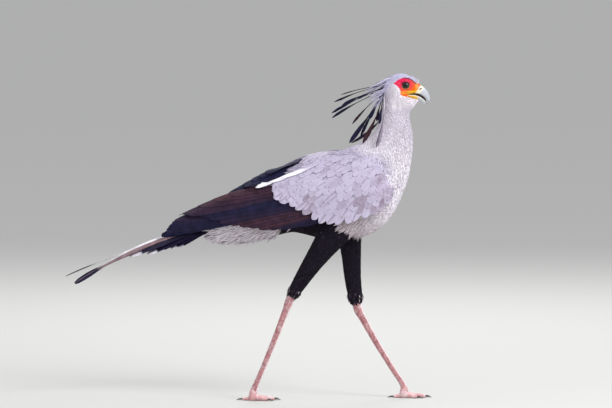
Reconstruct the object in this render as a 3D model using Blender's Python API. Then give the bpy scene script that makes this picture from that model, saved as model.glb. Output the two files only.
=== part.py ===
"""A secretary bird in mid stride, life size, as a still museum model.

Lengths are in millimetres until a mesh is made, and the meshes are in metres.
A point is (forward, left, up): the beak points forward along +X, the bird's left
wing is on +Y, and the soles stand on Z = 0.
"""

import math

import bmesh
import bpy
import numpy as np

MM = 0.001
# What lies at this forward distance, halfway from tail tip to foremost claw, is put at X = 0.
MIDDLE_FORWARD = 1.28
# Bodies that touch in life stand this far apart.
GAP = 0.3
# How much bigger a body is made before it is cut out of its neighbour.
GROW = 0.4
SIDES_OF = {"right": -1.0, "left": 1.0}

COLOURS = {
    "plumage_grey": ((0.62, 0.61, 0.66), 0.85, 0.0),
    "plumage_white": ((0.80, 0.77, 0.76), 0.88, 0.0),
    "flight_black": ((0.022, 0.020, 0.026), 0.55, 0.0),
    "leg_black": ((0.020, 0.017, 0.018), 0.9, 0.0),
    "tarsus_pink": ((0.78, 0.47, 0.42), 0.6, 0.0),
    "claw_dark": ((0.06, 0.055, 0.055), 0.4, 0.0),
    "bill_horn": ((0.62, 0.66, 0.66), 0.3, 0.0),
    "bill_yellow": ((0.85, 0.55, 0.08), 0.4, 0.0),
    "eye": ((0.02, 0.018, 0.016), 0.08, 0.0),
}

# Body stations, tail end to bill base: back point (forward, up), belly point (forward, up), half width.
TORSO = [
    (-78, 588, -84, 474, 34),
    (-9, 633, -6, 471, 46),
    (66, 675, 78, 486, 56),
    (132, 704, 135, 500, 65),
    (186, 727, 195, 486, 71),
    (246, 747, 276, 474, 75),
    (291, 759, 348, 486, 76),
    (327, 771, 414, 522, 73),
    (354, 786, 459, 594, 65),
    (375, 807, 486, 666, 56),
]
NECK = [
    (375, 807, 486, 666, 56),
    (390, 834, 498, 744, 46),
    (399, 864, 498, 806, 38),
    (402, 891, 487, 846, 34),
    (403, 913, 492, 866, 32.5),
]
SKULL = [
    (403, 913, 492, 866, 32.5),
    (402, 936, 490, 886, 33),
    (409, 957, 484, 903, 33.5),
    (425, 971, 480, 912, 33.5),
    (446, 980, 482, 914, 32),
    (469, 980, 488, 915.5, 29),
    (490, 970, 497, 918, 22.5),
    (508, 953, 506, 920.6, 15),
]
CHIN = [
    (440, 900, 489.5, 869, 27),
    (456, 912, 499, 877, 26.5),
    (474, 913, 505, 887, 22),
    (492, 908, 510, 893.5, 15.5),
    (510, 903, 514, 899.5, 7),
]
TAIL_STUMP = [
    (-78, 588, -84, 474, 36),
    (-112, 566, -118, 494, 27),
    (-145, 547, -150, 508, 19),
    (-172, 532, -175, 513, 12),
]

# Bill: culmen point, cutting-edge point, half width.
BILL_UPPER = [
    (508, 953, 506, 920.6, 15),
    (517, 945.5, 512, 920.3, 12.8),
    (525, 940.5, 519, 917, 11),
    (533, 934, 525.5, 913, 9.3),
    (539.5, 924, 531.5, 909, 7.6),
    (544, 914, 536, 903.5, 5.8),
    (545.3, 905, 538.3, 897, 4),
    (543.8, 897, 539.2, 892, 2.2),
    (540.5, 889.5, 539.2, 888.6, 0.7),
]
BILL_LOWER = [
    (459, 919, 461, 915.5, 12),
    (471, 918.6, 472, 911.5, 15),
    (490, 918, 490, 905, 14.5),
    (503, 916.8, 503, 901.8, 12.3),
    (514, 912.6, 513, 899.5, 9.3),
    (524.5, 906, 522.5, 893.5, 6),
    (531.3, 899.5, 529, 890.3, 3),
    (536, 891, 534.5, 889.3, 0.8),
]
NOSTRIL = {"centre": (516.5, 934), "side": 13.5, "slope_deg": 34}
NOSTRIL_HALF = {"long": 5.0, "high": 1.6, "deep": 4.0}
# The gap of the mouth from the side, from its corner to the front: forward, up.
MOUTH_GAP = [(457, 919.4), (516, 921), (516, 912.5), (503, 917.4), (471, 919)]

EYE = {"forward": 472, "up": 943, "side": 22.0, "radius": 12.0}
LID_RING_RADIUS = 11.3
LID_THICKNESS = 2.2
LID_OUT = 5.8
# The way the right eye looks: forward, out, up.
GAZE = (0.18, 0.98, 0.06)
BROW = {"forward": 471, "up": 957, "side": 24.0, "half_high": 5.0, "half_deep": 8.0}
# Half the length of the brow, as forward, in and down.
BROW_ALONG = (20, 5, 4)

# Leg stations from the hidden knee down: forward, distance from the midline, up, half depth, half breadth.
LEG_UPPER = {
    "right": [
        (292, 42, 585, 52, 30),
        (264, 46, 520, 57, 33),
        (231, 44, 466, 41, 30),
    ],
    "left": [
        (292, 44, 585, 50, 30),
        (300, 47, 530, 49, 32),
        (306, 48, 478, 37, 30),
    ],
}
LEG_LOWER = {
    "right": [
        (231, 44, 466, 41, 30),
        (192, 41, 411, 32, 26),
        (159, 39, 360, 26, 23),
        (139, 37.5, 327, 22, 20),
        (129, 37, 310, 16.5, 15),
    ],
    "left": [
        (306, 48, 478, 37, 30),
        (310.5, 48, 426, 32, 27),
        (314, 48, 366, 28, 24),
        (321, 48, 315, 25, 22),
        (325.5, 48, 286, 18, 16),
    ],
}
TARSUS = {
    "right": [
        (129, 37, 310, 11.5, 10.5),
        (122, 37, 292, 13, 11.5),
        (113, 37, 268, 10.8, 9.6),
        (83, 36.5, 190, 9.0, 8.2),
        (48, 36, 104, 8.0, 7.6),
        (25, 36, 50, 8.4, 8.4),
        (16, 36, 29, 10.2, 10.2),
    ],
    "left": [
        (325.5, 48, 286, 11.5, 10.5),
        (333, 48, 262, 13, 11.5),
        (346, 48, 238, 10.8, 9.6),
        (388, 48, 163, 9.0, 8.2),
        (435, 48, 87, 8.0, 7.6),
        (462, 48, 46, 8.4, 8.4),
        (470, 48, 29, 10.2, 10.2),
    ],
}
# Girth of the bare leg where it leaves the feathers, against the feathers' girth there.
HEEL_SHARE = 0.72
# The heel of the foot below the tarsus: forward offset, up, half depth, half breadth.
FOOT_HUB = [(0, 29, 10.2, 10.2), (-1, 20, 12.5, 13), (-1, 9, 13.5, 15), (0, -1.5, 11, 13)]
# Half breadth and depth of the block that cuts the soles flat.
GROUND_BLOCK = (200, 40)
# Toes: heading from straight ahead, length, girth against the middle toe's.
TOES = {
    "middle": (2, 64, 1.0),
    "inner": (-29, 50, 0.94),
    "outer": (33, 47, 0.9),
    "hind": (176, 33, 0.8),
}
# Toe stations: share of the length, centre height, half height, half breadth.
TOE_PROFILE = [
    (0.0, 12.0, 8.5, 8.5),
    (0.3, 8.4, 8.4, 8.3),
    (0.5, 6.4, 7.1, 7.2),
    (0.66, 6.3, 7.0, 7.7),
    (0.86, 5.4, 6.0, 6.5),
    (1.0, 5.0, 4.6, 4.6),
]
# Claw stations: distance past the toe, centre height, half height, half breadth.
CLAW_PROFILE = [(0.0, 5.0, 3.7, 3.1), (6.0, 5.3, 3.2, 2.5), (12.0, 3.9, 2.2, 1.7), (18.0, 1.3, 0.7, 0.6)]

# Folded wings. Each row is forward, then height and distance from the midline of the
# upper edge, height and distance of the widest line, and height of the lower edge.
WING_ROWS = {
    "right": [
        (428, 636, 52, 630, 60, 624),
        (412, 674, 56, 636, 73, 600),
        (384, 707, 58, 634, 82, 575),
        (342, 727, 52, 626, 86, 553),
        (276, 729, 40, 614, 86, 536),
        (216, 716, 38, 602, 80, 532),
        (156, 688, 38, 590, 73, 529),
        (96, 657, 35, 577, 66, 522),
        (27, 632, 27, 568, 58, 519),
        (-48, 616, 20, 556, 50, 526),
        (-135, 582, 16, 534, 40, 512),
        (-213, 544, 15, 516, 31, 500),
        (-262, 508, 18, 499, 25, 487),
    ],
    "left": [
        (428, 636, 52, 630, 60, 624),
        (412, 674, 56, 636, 73, 600),
        (384, 707, 58, 634, 82, 575),
        (342, 730, 48, 628, 86, 555),
        (276, 741, 27, 622, 86, 540),
        (216, 733, 24, 612, 80, 537),
        (156, 716, 24, 600, 73, 534),
        (96, 682, 24, 586, 66, 528),
        (27, 646, 20, 572, 58, 524),
        (-48, 609, 17, 556, 50, 527),
        (-135, 577, 15, 534, 40, 512),
        (-213, 542, 15, 516, 31, 500),
        (-262, 508, 18, 499, 25, 487),
    ],
}
ROOF_POWER = 2.2
UNDER_TUCK = 5.0

# The fleshy part of the wing, from the shoulder back: forward, height of its lower edge.
WING_CORE = [
    (424, 630),
    (404, 600),
    (372, 580),
    (330, 574),
    (285, 574),
    (240, 582),
    (190, 600),
    (140, 618),
    (95, 636),
    (60, 640),
]
# Height of the flesh over the wing's base: along its lower edge, bulge above that, at its upper edge.
CORE_EDGE = 16.0
CORE_BULGE = 3.0
CORE_TOP = 3.0
CORE_DEPTH = 34.0
# Towards the upper edge all heights over the base fall to this share, from this share of the way down.
TOP_LIFT = 0.5
TOP_LIFT_DEPTH = 0.3
# How far feathers may reach past the upper edge, as a share of the depth there.
TOP_OVERHANG = 0.03
# Behind this length the coverts lie over the tertials, at this height.
TERTIAL_START = (235, 120)
TERTIAL_TOP = 19.6
# The flesh thins over this length behind the front of the wing, down to this share.
CORE_FRONT = (428, 372)
CORE_FRONT_SHARE = 0.35

# Rows of wing feathers as seen from the side, from the lowest feather up. Roots and tips run along
# the listed points. A lift is a height over the wing's base, or over the flesh for the coverts.
FEATHER_ROWS = {
    "primary": {
        "count": 5,
        "roots": [(215, 596), (200, 604), (180, 612)],
        "tips": [(-258, 494), (-247, 506), (-228, 527), (-208, 545)],
        "width": (30, 34),
        "bend": -4,
        "lift": 0.6,
        "step": 1.15,
        "rise": 0.8,
        "thick": 0.5,
        "outline": "flight",
        "over_flesh": False,
    },
    "secondary": {
        "count": 7,
        "roots": [(318, 580), (270, 584), (225, 597), (165, 618)],
        "tips": [(156, 530), (100, 523), (50, 520), (0, 524), (-48, 531), (-96, 542), (-148, 556)],
        "width": (30, 38),
        "bend": -4,
        "lift": 6.6,
        "step": 1.15,
        "rise": 0.8,
        "thick": 0.5,
        "outline": "flight",
        "over_flesh": False,
    },
    "tertial": {
        "count": 3,
        "roots": [(150, 636), (112, 650)],
        "tips": [(-160, 570), (-90, 596), (-20, 622)],
        "width": (42, 36),
        "bend": -3,
        "lift": 15.6,
        "step": 1.9,
        "rise": 0.8,
        "thick": 0.5,
        "outline": "flight",
        "over_flesh": False,
    },
    "greater_covert": {
        "count": 8,
        "roots": [(408, 612), (372, 596), (328, 592), (280, 594), (230, 606), (170, 630), (122, 656)],
        "tips": [(380, 573), (330, 548), (280, 536), (225, 540), (165, 558), (105, 584), (30, 628)],
        "width": (48, 46),
        "bend": -3,
        "lift": 1.8,
        "step": 0.3,
        "rise": 2.2,
        "thick": 0.5,
        "outline": "covert",
        "over_flesh": True,
    },
    "median_covert": {
        "count": 6,
        "roots": [(412, 640), (380, 634), (330, 632), (275, 634), (220, 644), (165, 668)],
        "tips": [(388, 598), (340, 576), (285, 566), (230, 574), (170, 596), (112, 628)],
        "width": (48, 50),
        "bend": -3,
        "lift": 5.2,
        "step": 0.4,
        "rise": 2.2,
        "thick": 0.5,
        "outline": "covert",
        "over_flesh": True,
    },
}
# Tertials of the left wing that lie across the back: root, tip, width, bow. Points run forward, left, up.
BACK_TERTIALS = [
    ((190, 27, 723), (-62, -6, 622), 44, 6),
    ((182, 26, 722), (-30, -10, 645), 46, 4),
    ((174, 25, 720), (6, -12, 664), 44, 3),
    ((166, 24, 717), (44, -13, 684), 38, 1),
]
# They start level with the left side of the back and turn down over its right side.
BACK_RISE = 0.25
BACK_TWIST_DEG = -45
BACK_THICK = (1.0, 0.6)

# Tail feathers, centre pair first: tip forward, tip up, width, bow. All lean down and out alike.
TAIL_FEATHERS = {
    "right": [
        (-520, 350, 33, 14),
        (-345, 438, 34, 4),
        (-316, 448, 34, 4),
        (-275, 462, 34, 4),
        (-240, 473, 32, 4),
        (-206, 478, 30, 4),
    ],
    "left": [
        (-548, 368, 33, 6),
        (-342, 434, 34, 2),
        (-312, 445, 34, 2),
        (-279, 457, 34, 2),
        (-242, 470, 32, 2),
        (-204, 477, 30, 2),
    ],
}
TAIL_ROOT = (-118, 523)
TAIL_STEP_DOWN = 3.2
TAIL_LEAN_DEG = 25
TAIL_TWIST_DEG = 24
# Half the gap between the feathers of the two sides.
TAIL_HALF_GAP = 0.4
TAIL_THICK = (1.1, 0.7)

# Crest plumes: root, tip, club width, bow of the plume. Points run forward, left, up.
CREST_PLUMES = [
    ((407, -6, 936), (279, -14, 916), 9, (0, 0, 5)),
    ((407, 7, 938), (262, 12, 897), 9, (0, 0, 6)),
    ((410, -14, 932), (327, -24, 903), 9, (0, 0, 3)),
    ((407, -3, 929), (283, -18, 884), 11, (0, 0, 5)),
    ((408, 10, 930), (254, 26, 858), 14, (0, 0, 6)),
    ((408, -9, 924), (252, -10, 846), 15, (0, 0, 8)),
    ((409, 15, 924), (300, 38, 850), 15, (0, 0, 6)),
    ((407, -1, 921), (305, -6, 773), 22, (6, 0, 8)),
    ((413, -19, 926), (356, -42, 843), 15, (-2, -3, 2)),
    ((407, 6, 920), (310, 16, 786), 18, (6, 0, 8)),
    ((414, -20, 920), (340, -46, 780), 16, (2, -4, 6)),
    ((414, 20, 922), (333, 48, 782), 16, (2, 4, 6)),
    ((420, -25, 922), (393, -57, 834), 12, (-2, -4, 0)),
    ((420, 25, 922), (386, 58, 834), 12, (-2, 4, 0)),
    ((422, -27, 918), (386, -67, 764), 11, (-3, -7, 0)),
    ((422, 27, 918), (376, 68, 768), 12, (-3, 7, 0)),
]

# Plumes with tips lower than this hang flat against the neck's sides.
CREST_LOW_TIP = 860
CREST_THICK = (1.5, 0.7)

# How deep a feather's root stands in the flesh.
ROOT_DEPTH = 2.0
# Vane outlines: share of the length, share of the width.
VANE_OUTLINES = {
    "flight": [(0.0, 0.2), (0.1, 0.7), (0.5, 1.0), (0.86, 0.85), (1.0, 0.2)],
    "covert": [(0.0, 0.25), (0.16, 0.8), (0.68, 1.0), (1.0, 0.3)],
    "tail": [(0.0, 0.3), (0.3, 0.66), (0.62, 1.0), (0.9, 0.9), (1.0, 0.35)],
    "plume": [(0.0, 0.16), (0.45, 0.3), (0.8, 1.0), (1.0, 0.3)],
}


def smooth(stations, steps):
    """A curve through the stations, with this many steps between each pair."""
    inner = np.array(stations, float)
    rows = np.vstack([2 * inner[0] - inner[1], inner, 2 * inner[-1] - inner[-2]])
    found = []
    for a, b, c, d in zip(rows, rows[1:], rows[2:], rows[3:]):
        for step in range(steps):
            t = step / steps
            square = (2 * a - 5 * b + 4 * c - d) * t**2
            cube = (3 * b - a - 3 * c + d) * t**3
            found.append(0.5 * (2 * b + (c - a) * t + square + cube))
    found.append(inner[-1])
    return np.array(found)


def along(points, share):
    """The point at this share of the way along a line of points."""
    points = np.array(points, float)
    lengths = np.linalg.norm(np.diff(points, axis=0), axis=1)
    walked = np.concatenate([[0.0], np.cumsum(lengths)])
    at = share * walked[-1]
    return np.array([np.interp(at, walked, column) for column in points.T])


def mix(pair, share):
    return pair[0] + (pair[1] - pair[0]) * share


def oval(middle, first, second, sides):
    turn = 2 * math.pi * np.arange(sides) / sides
    return middle + np.outer(np.cos(turn), first) + np.outer(np.sin(turn), second)


def body_rings(stations, steps, sides, grow=0.0):
    """Oval rings between back and belly points, each in the plane of its two points."""
    rings = []
    for back_f, back_u, belly_f, belly_u, half in smooth(stations, steps):
        back, belly = np.array([back_f, 0, back_u]), np.array([belly_f, 0, belly_u])
        reach = (back - belly) / 2
        length = np.linalg.norm(reach)
        rings.append(
            oval((back + belly) / 2, reach * (1 + grow / length), np.array([0, half + grow, 0]), sides)
        )
    return rings


def limb_rings(stations, steps, sides, grow=0.0):
    """Oval rings square to a path: rows are forward, left, up, half depth, half breadth."""
    rows = smooth(stations, steps)
    ways = np.gradient(rows[:, :3], axis=0)
    rings = []
    for row, way in zip(rows, ways):
        fore = np.cross([0, 1, 0], way)
        fore /= np.linalg.norm(fore)
        side = np.cross(way, fore)
        side /= np.linalg.norm(side)
        rings.append(oval(row[:3], fore * (row[3] + grow), side * (row[4] + grow), sides))
    return rings


def moved_along(ring, towards, distance):
    """The ring moved square to its own plane, towards another ring."""
    middle = ring.mean(axis=0)
    normal = np.cross(ring[0] - middle, ring[len(ring) // 4] - middle)
    normal /= np.linalg.norm(normal)
    if normal @ (towards.mean(axis=0) - middle) < 0:
        normal = -normal
    return ring + normal * distance


def stretched(rings, distance):
    """The rings with both ends moved out."""
    first, last = moved_along(rings[0], rings[1], -distance), moved_along(rings[-1], rings[-2], -distance)
    return [first, *rings[1:-1], last]


def shell(rings):
    """Points and faces of a closed skin over the rings, with flat ends."""
    count = len(rings[0])
    faces = [tuple(range(count)), tuple((len(rings) - 1) * count + i for i in range(count))]
    for row in range(len(rings) - 1):
        for i in range(count):
            j = (i + 1) % count
            here, there = row * count, (row + 1) * count
            faces.append((here + i, here + j, there + j))
            faces.append((here + i, there + j, there + i))
    return np.concatenate(rings), faces


# How near its poles a ball's first and last rings lie.
POLE = 0.985


def ball(middle, axes, sides=12, rows=7):
    """A closed oval ball with these three half axes, as rows of a 3 by 3 array."""
    axes = np.array(axes, float)
    rings = []
    for height in np.sin(np.linspace(-POLE, POLE, rows) * math.pi / 2):
        girth = math.sqrt(1 - height * height)
        rings.append(oval(np.array(middle) + axes[2] * height, axes[0] * girth, axes[1] * girth, sides))
    return shell(rings)


def ring_tube(middle, first, second, radius, thick, sides=10, round_sides=4):
    """A closed ring, as an eyelid, in the plane of two directions."""
    middle, first, second = (np.array(v, float) for v in (middle, first, second))
    out = np.cross(first, second)
    points, faces = [], []
    for i in range(sides):
        turn = 2 * math.pi * i / sides
        way = first * math.cos(turn) + second * math.sin(turn)
        for j in range(round_sides):
            bend = 2 * math.pi * j / round_sides
            points.append(middle + way * (radius + thick * math.cos(bend)) + out * thick * math.sin(bend))
    for i in range(sides):
        here, there = i * round_sides, (i + 1) % sides * round_sides
        for j in range(round_sides):
            k = (j + 1) % round_sides
            faces.append((here + j, here + k, there + k))
            faces.append((here + j, there + k, there + j))
    return np.array(points), faces


def plate(rows):
    """A closed thin plate. Each row holds the points of its outer and of its inner face, from
    edge to edge, and both faces are split along the same diagonals."""
    rows = np.array(rows, float)
    last, wide = len(rows) - 1, rows.shape[2] - 1

    def at(row, face, column):
        return (row * 2 + face) * (wide + 1) + column

    faces = []
    for row in range(last):
        for face in (0, 1):
            for column in range(wide):
                a, b = at(row, face, column), at(row, face, column + 1)
                c, d = at(row + 1, face, column + 1), at(row + 1, face, column)
                faces += [(a, d, c), (a, c, b)]
        for column in (0, wide):
            a, b = at(row, 0, column), at(row, 1, column)
            c, d = at(row + 1, 1, column), at(row + 1, 0, column)
            faces += [(a, d, c), (a, c, b)]
    for row in (0, last):
        for column in range(wide):
            after = column + 1
            faces.append((at(row, 0, column), at(row, 0, after), at(row, 1, after), at(row, 1, column)))
    return rows.reshape(-1, 3), faces


def straight_vane(root, tip, side_way, width, thick, outline, bend=(0, 0, 0), twist_deg=0.0):
    """A feather in space from root to tip, its width along side_way, bowed by bend."""
    root, tip, bend = (np.array(v, float) for v in (root, tip, bend))
    way = (tip - root) / np.linalg.norm(tip - root)
    side = np.array(side_way, float)
    side -= way * (side @ way)
    side /= np.linalg.norm(side)
    up = np.cross(way, side)
    rows = []
    for share, wide in VANE_OUTLINES[outline]:
        middle = root + (tip - root) * share + bend * 4 * share * (1 - share)
        turn = math.radians(twist_deg) * share**2
        across = (side * math.cos(turn) + up * math.sin(turn)) * width * wide / 2
        over = (up * math.cos(turn) - side * math.sin(turn)) * mix(thick, share) / 2
        near, far = middle - across, middle + across
        rows.append([[near + over, far + over], [near - over, far - over]])
    return plate(rows)


class WingSurface:
    """The base of a folded wing, with heights over it, from its rows."""

    def __init__(self, side):
        self.side = SIDES_OF[side]
        self.rows = smooth(WING_ROWS[side], 6)[::-1]
        self.plan = smooth(WING_ROWS["right"], 6)[::-1]
        self.core = smooth(WING_CORE, 4)[::-1]

    def column(self, rows, forward, index):
        return np.interp(forward, rows[:, 0], rows[:, index])

    def share_down(self, forward, up):
        """Share of the way from the upper to the lower edge of the right wing."""
        top, bottom = self.column(self.plan, forward, 1), self.column(self.plan, forward, 5)
        return (top - up) / (top - bottom)

    def skin(self, forward, share):
        top, top_side, middle, wide, bottom = (self.column(self.rows, forward, i) for i in range(1, 6))
        up = top + (bottom - top) * share
        if up >= middle:
            rise = (up - middle) / (top - middle)
            out = wide - (wide - top_side) * rise**ROOF_POWER
        else:
            out = wide - UNDER_TUCK * ((middle - up) / (middle - bottom)) ** 2
        return np.array([forward, out * self.side, up])

    def flesh(self, forward, up):
        """Height of the flesh's outer face over the base, and of its edge beyond its reach."""
        low, top = self.column(self.core, forward, 1), self.column(self.plan, forward, 1)
        share = min(max((up - low) / max(top - low, 5.0), 0.0), 1.0)
        front = (CORE_FRONT[0] - forward) / (CORE_FRONT[0] - CORE_FRONT[1])
        front = mix((CORE_FRONT_SHARE, 1.0), min(max(front, 0.0), 1.0))
        height = mix((CORE_EDGE, CORE_TOP), share**2.5)
        return front * (height + CORE_BULGE * math.sin(math.pi * share))

    def low_top(self, forward, up):
        """Share of its full height that a feather has here, less near the upper edge."""
        share = min(max(self.share_down(forward, up) / TOP_LIFT_DEPTH, 0.0), 1.0)
        return mix((TOP_LIFT, 1.0), share)

    def cover(self, forward, up):
        """Height over the base of what the coverts lie on."""
        rear = (TERTIAL_START[0] - forward) / (TERTIAL_START[0] - TERTIAL_START[1])
        rear = min(max(rear, 0.0), 1.0)
        tertials = TERTIAL_TOP * rear * self.low_top(forward, up)
        return max(self.flesh(forward, up), tertials)

    def at(self, forward, up, lift):
        """The point above the side-view place (forward, up), lift outside the base."""
        share = max(self.share_down(forward, up), -TOP_OVERHANG)
        step_f, step_s = 4.0, 0.03
        by_forward = self.skin(forward + step_f, share) - self.skin(forward - step_f, share)
        by_share = self.skin(forward, share + step_s) - self.skin(forward, share - step_s)
        normal = np.cross(by_forward, by_share)
        normal /= np.linalg.norm(normal)
        if normal[1] * self.side < 0:
            normal = -normal
        return self.skin(forward, share) + normal * lift


def wing_core(surface):
    """The arm and its muscles, thick along the lower edge where the quills stand in it."""
    columns, depths = np.array(WING_CORE, float), np.linspace(0.0, 1.0, 8)
    last = len(columns) - 1
    rows = []
    for index, (forward, low) in enumerate(columns):
        top = surface.column(surface.plan, forward, 1)
        ends = math.sin(math.pi * min(1.0, 0.1 + 0.9 * index / last)) ** 0.5
        outer, inner = [], []
        for share in depths:
            up = top + (low - top) * share
            belly = math.sin(math.pi * (0.04 + 0.9 * share)) ** 0.7
            outer.append(surface.at(forward, up, surface.flesh(forward, up)))
            inner.append(surface.at(forward, up, -CORE_DEPTH * belly * ends))
        rows.append([outer, inner])
    return plate(rows)


def wing_feather(surface, row, index):
    """A vane that follows the wing, its lower edge raised over the next feather."""
    share = index / (row["count"] - 1)
    root, tip = along(row["roots"], share), along(row["tips"], share)
    width = mix(row["width"], share)
    way = tip - root
    down = np.array([way[1], -way[0]]) / np.linalg.norm(way)
    if down[1] > 0:
        down = -down
    rows = []
    for length, wide in VANE_OUTLINES[row["outline"]]:
        middle = root + way * length + down * row["bend"] * 4 * length * (1 - length)
        outer, inner = [], []
        for across in (-0.5, 0.0, 0.5):
            place = middle + down * width * wide * across
            lift = row["lift"] + row["step"] * index + row["rise"] * wide * across
            if row["over_flesh"]:
                lift += surface.cover(*place)
            else:
                lift *= surface.low_top(*place)
            if length == 0.0:
                lift = min(lift, surface.flesh(*place)) - ROOT_DEPTH
            outer.append(surface.at(*place, lift + row["thick"]))
            inner.append(surface.at(*place, lift))
        rows.append([outer, inner])
    return plate(rows)


def wing_feathers(surface):
    for row in FEATHER_ROWS.values():
        for index in range(row["count"]):
            yield wing_feather(surface, row, index)


def back_tertials():
    for root, tip, width, bow in BACK_TERTIALS:
        yield straight_vane(
            root,
            tip,
            (0, -1, BACK_RISE),
            width,
            BACK_THICK,
            "flight",
            bend=(0, 0, bow),
            twist_deg=BACK_TWIST_DEG,
        )


def tail_feathers():
    lean = math.radians(TAIL_LEAN_DEG)
    for name, rows in TAIL_FEATHERS.items():
        side = SIDES_OF[name]
        for index, (forward, up, width, bow) in enumerate(rows):
            out = side * (width / 2 * math.cos(lean) + TAIL_HALF_GAP)
            root = (TAIL_ROOT[0], out, TAIL_ROOT[1] - TAIL_STEP_DOWN * index)
            yield straight_vane(
                root,
                (forward, out, up),
                (0, side * math.cos(lean), -math.sin(lean)),
                width,
                TAIL_THICK,
                "tail",
                bend=(0, 0, bow),
                twist_deg=side * TAIL_TWIST_DEG if index == 0 else 0.0,
            )


def crest():
    """Plumes of the nape: the low ones hang with their faces to the sides."""
    for root, tip, width, bow in CREST_PLUMES:
        inward = -math.copysign(1, tip[1])
        across = (0.25, 0.55 * inward, 0.8) if tip[2] > CREST_LOW_TIP else (1.0, 0.35 * inward, 0.1)
        yield straight_vane(root, tip, across, width, CREST_THICK, "plume", bend=bow)


def mesh_object(name, points, faces):
    """A new object whose faces point out."""
    placed = (np.array(points) - [MIDDLE_FORWARD, 0, 0]) * MM
    mesh = bpy.data.meshes.new(name)
    mesh.from_pydata(placed.tolist(), [], faces)
    work = bmesh.new()
    work.from_mesh(mesh)
    bmesh.ops.recalc_face_normals(work, faces=work.faces)
    work.to_mesh(mesh)
    work.free()
    made = bpy.data.objects.new(name, mesh)
    bpy.context.scene.collection.objects.link(made)
    return made


def settle(obj):
    """Applies the modifiers of an object and drops them."""
    graph = bpy.context.evaluated_depsgraph_get()
    mesh = bpy.data.meshes.new_from_object(obj.evaluated_get(graph))
    obj.modifiers.clear()
    obj.data = mesh


def keep_largest(obj):
    """Drops every closed surface of the object but the one with the most volume."""
    work = bmesh.new()
    work.from_mesh(obj.data)
    bmesh.ops.triangulate(work, faces=work.faces)
    left, surfaces = set(work.verts), []
    while left:
        found, edge = set(), [left.pop()]
        while edge:
            vert = edge.pop()
            found.add(vert)
            for link in vert.link_edges:
                other = link.other_vert(vert)
                if other in left:
                    left.discard(other)
                    edge.append(other)
        faces = {face for vert in found for face in vert.link_faces}
        volume = sum(f.verts[0].co.dot(f.verts[1].co.cross(f.verts[2].co)) for f in faces) / 6
        surfaces.append((volume, found))
    surfaces.sort(key=lambda surface: surface[0])
    for _, found in surfaces[:-1]:
        bmesh.ops.delete(work, geom=list(found), context="VERTS")
    work.to_mesh(obj.data)
    work.free()


def cut(obj, points, faces, solver="EXACT"):
    """Takes a closed shape away from the object."""
    cutter = mesh_object("cutter", points, faces)
    modifier = obj.modifiers.new("cut", "BOOLEAN")
    modifier.operation = "DIFFERENCE"
    modifier.solver = solver
    modifier.object = cutter
    settle(obj)
    bpy.data.objects.remove(cutter)
    keep_largest(obj)


def join(obj, shapes):
    """Fuses closed shapes into the object."""
    group = bpy.data.collections.new("pieces")
    bpy.context.scene.collection.children.link(group)
    for points, faces in shapes:
        piece = mesh_object("piece", points, faces)
        bpy.context.scene.collection.objects.unlink(piece)
        group.objects.link(piece)
    modifier = obj.modifiers.new("join", "BOOLEAN")
    modifier.operation = "UNION"
    modifier.solver = "EXACT"
    modifier.operand_type = "COLLECTION"
    modifier.collection = group
    settle(obj)
    for piece in list(group.objects):
        bpy.data.objects.remove(piece)
    bpy.data.collections.remove(group)
    keep_largest(obj)


def material(name):
    found = bpy.data.materials.get(name)
    if found:
        return found
    colour, roughness, metallic = COLOURS[name]
    made = bpy.data.materials.new(name)
    made.use_nodes = True
    shader = made.node_tree.nodes["Principled BSDF"]
    shader.inputs["Base Color"].default_value = (*colour, 1.0)
    shader.inputs["Roughness"].default_value = roughness
    shader.inputs["Metallic"].default_value = metallic
    return made


def finish(obj, material_name, smooth_deg=40.0):
    obj.data.materials.clear()
    obj.data.materials.append(material(material_name))
    obj.data.shade_smooth()
    obj.data.set_sharp_from_angle(angle=math.radians(smooth_deg))


def torso_shape(grow=0.0):
    return shell(stretched(body_rings(TORSO, 2, 24, grow), grow))


def leg_rows(rows, side):
    return [(f, SIDES_OF[side] * out, *rest) for f, out, *rest in rows]


def build_torso():
    torso = mesh_object("torso", *torso_shape())
    finish(torso, "plumage_white")


def build_neck():
    rings = body_rings(NECK, 2, 24)
    rings[0] = moved_along(rings[0], rings[1], GAP)
    neck = mesh_object("neck", *shell(rings))
    finish(neck, "plumage_white")


def neck_cutter():
    return shell(stretched(body_rings(NECK, 2, 24, GROW), GROW))


def eye_middle(side):
    return np.array([EYE["forward"], SIDES_OF[side] * EYE["side"], EYE["up"]])


def mouth_gap(half=40):
    points = [(forward, half * sign, up) for sign in (-1, 1) for forward, up in MOUTH_GAP]
    count = len(MOUTH_GAP)
    faces = [tuple(range(count)), tuple(range(count, 2 * count))]
    for i in range(count):
        j = (i + 1) % count
        faces.append((i, j, count + j, count + i))
    return np.array(points), faces


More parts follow.
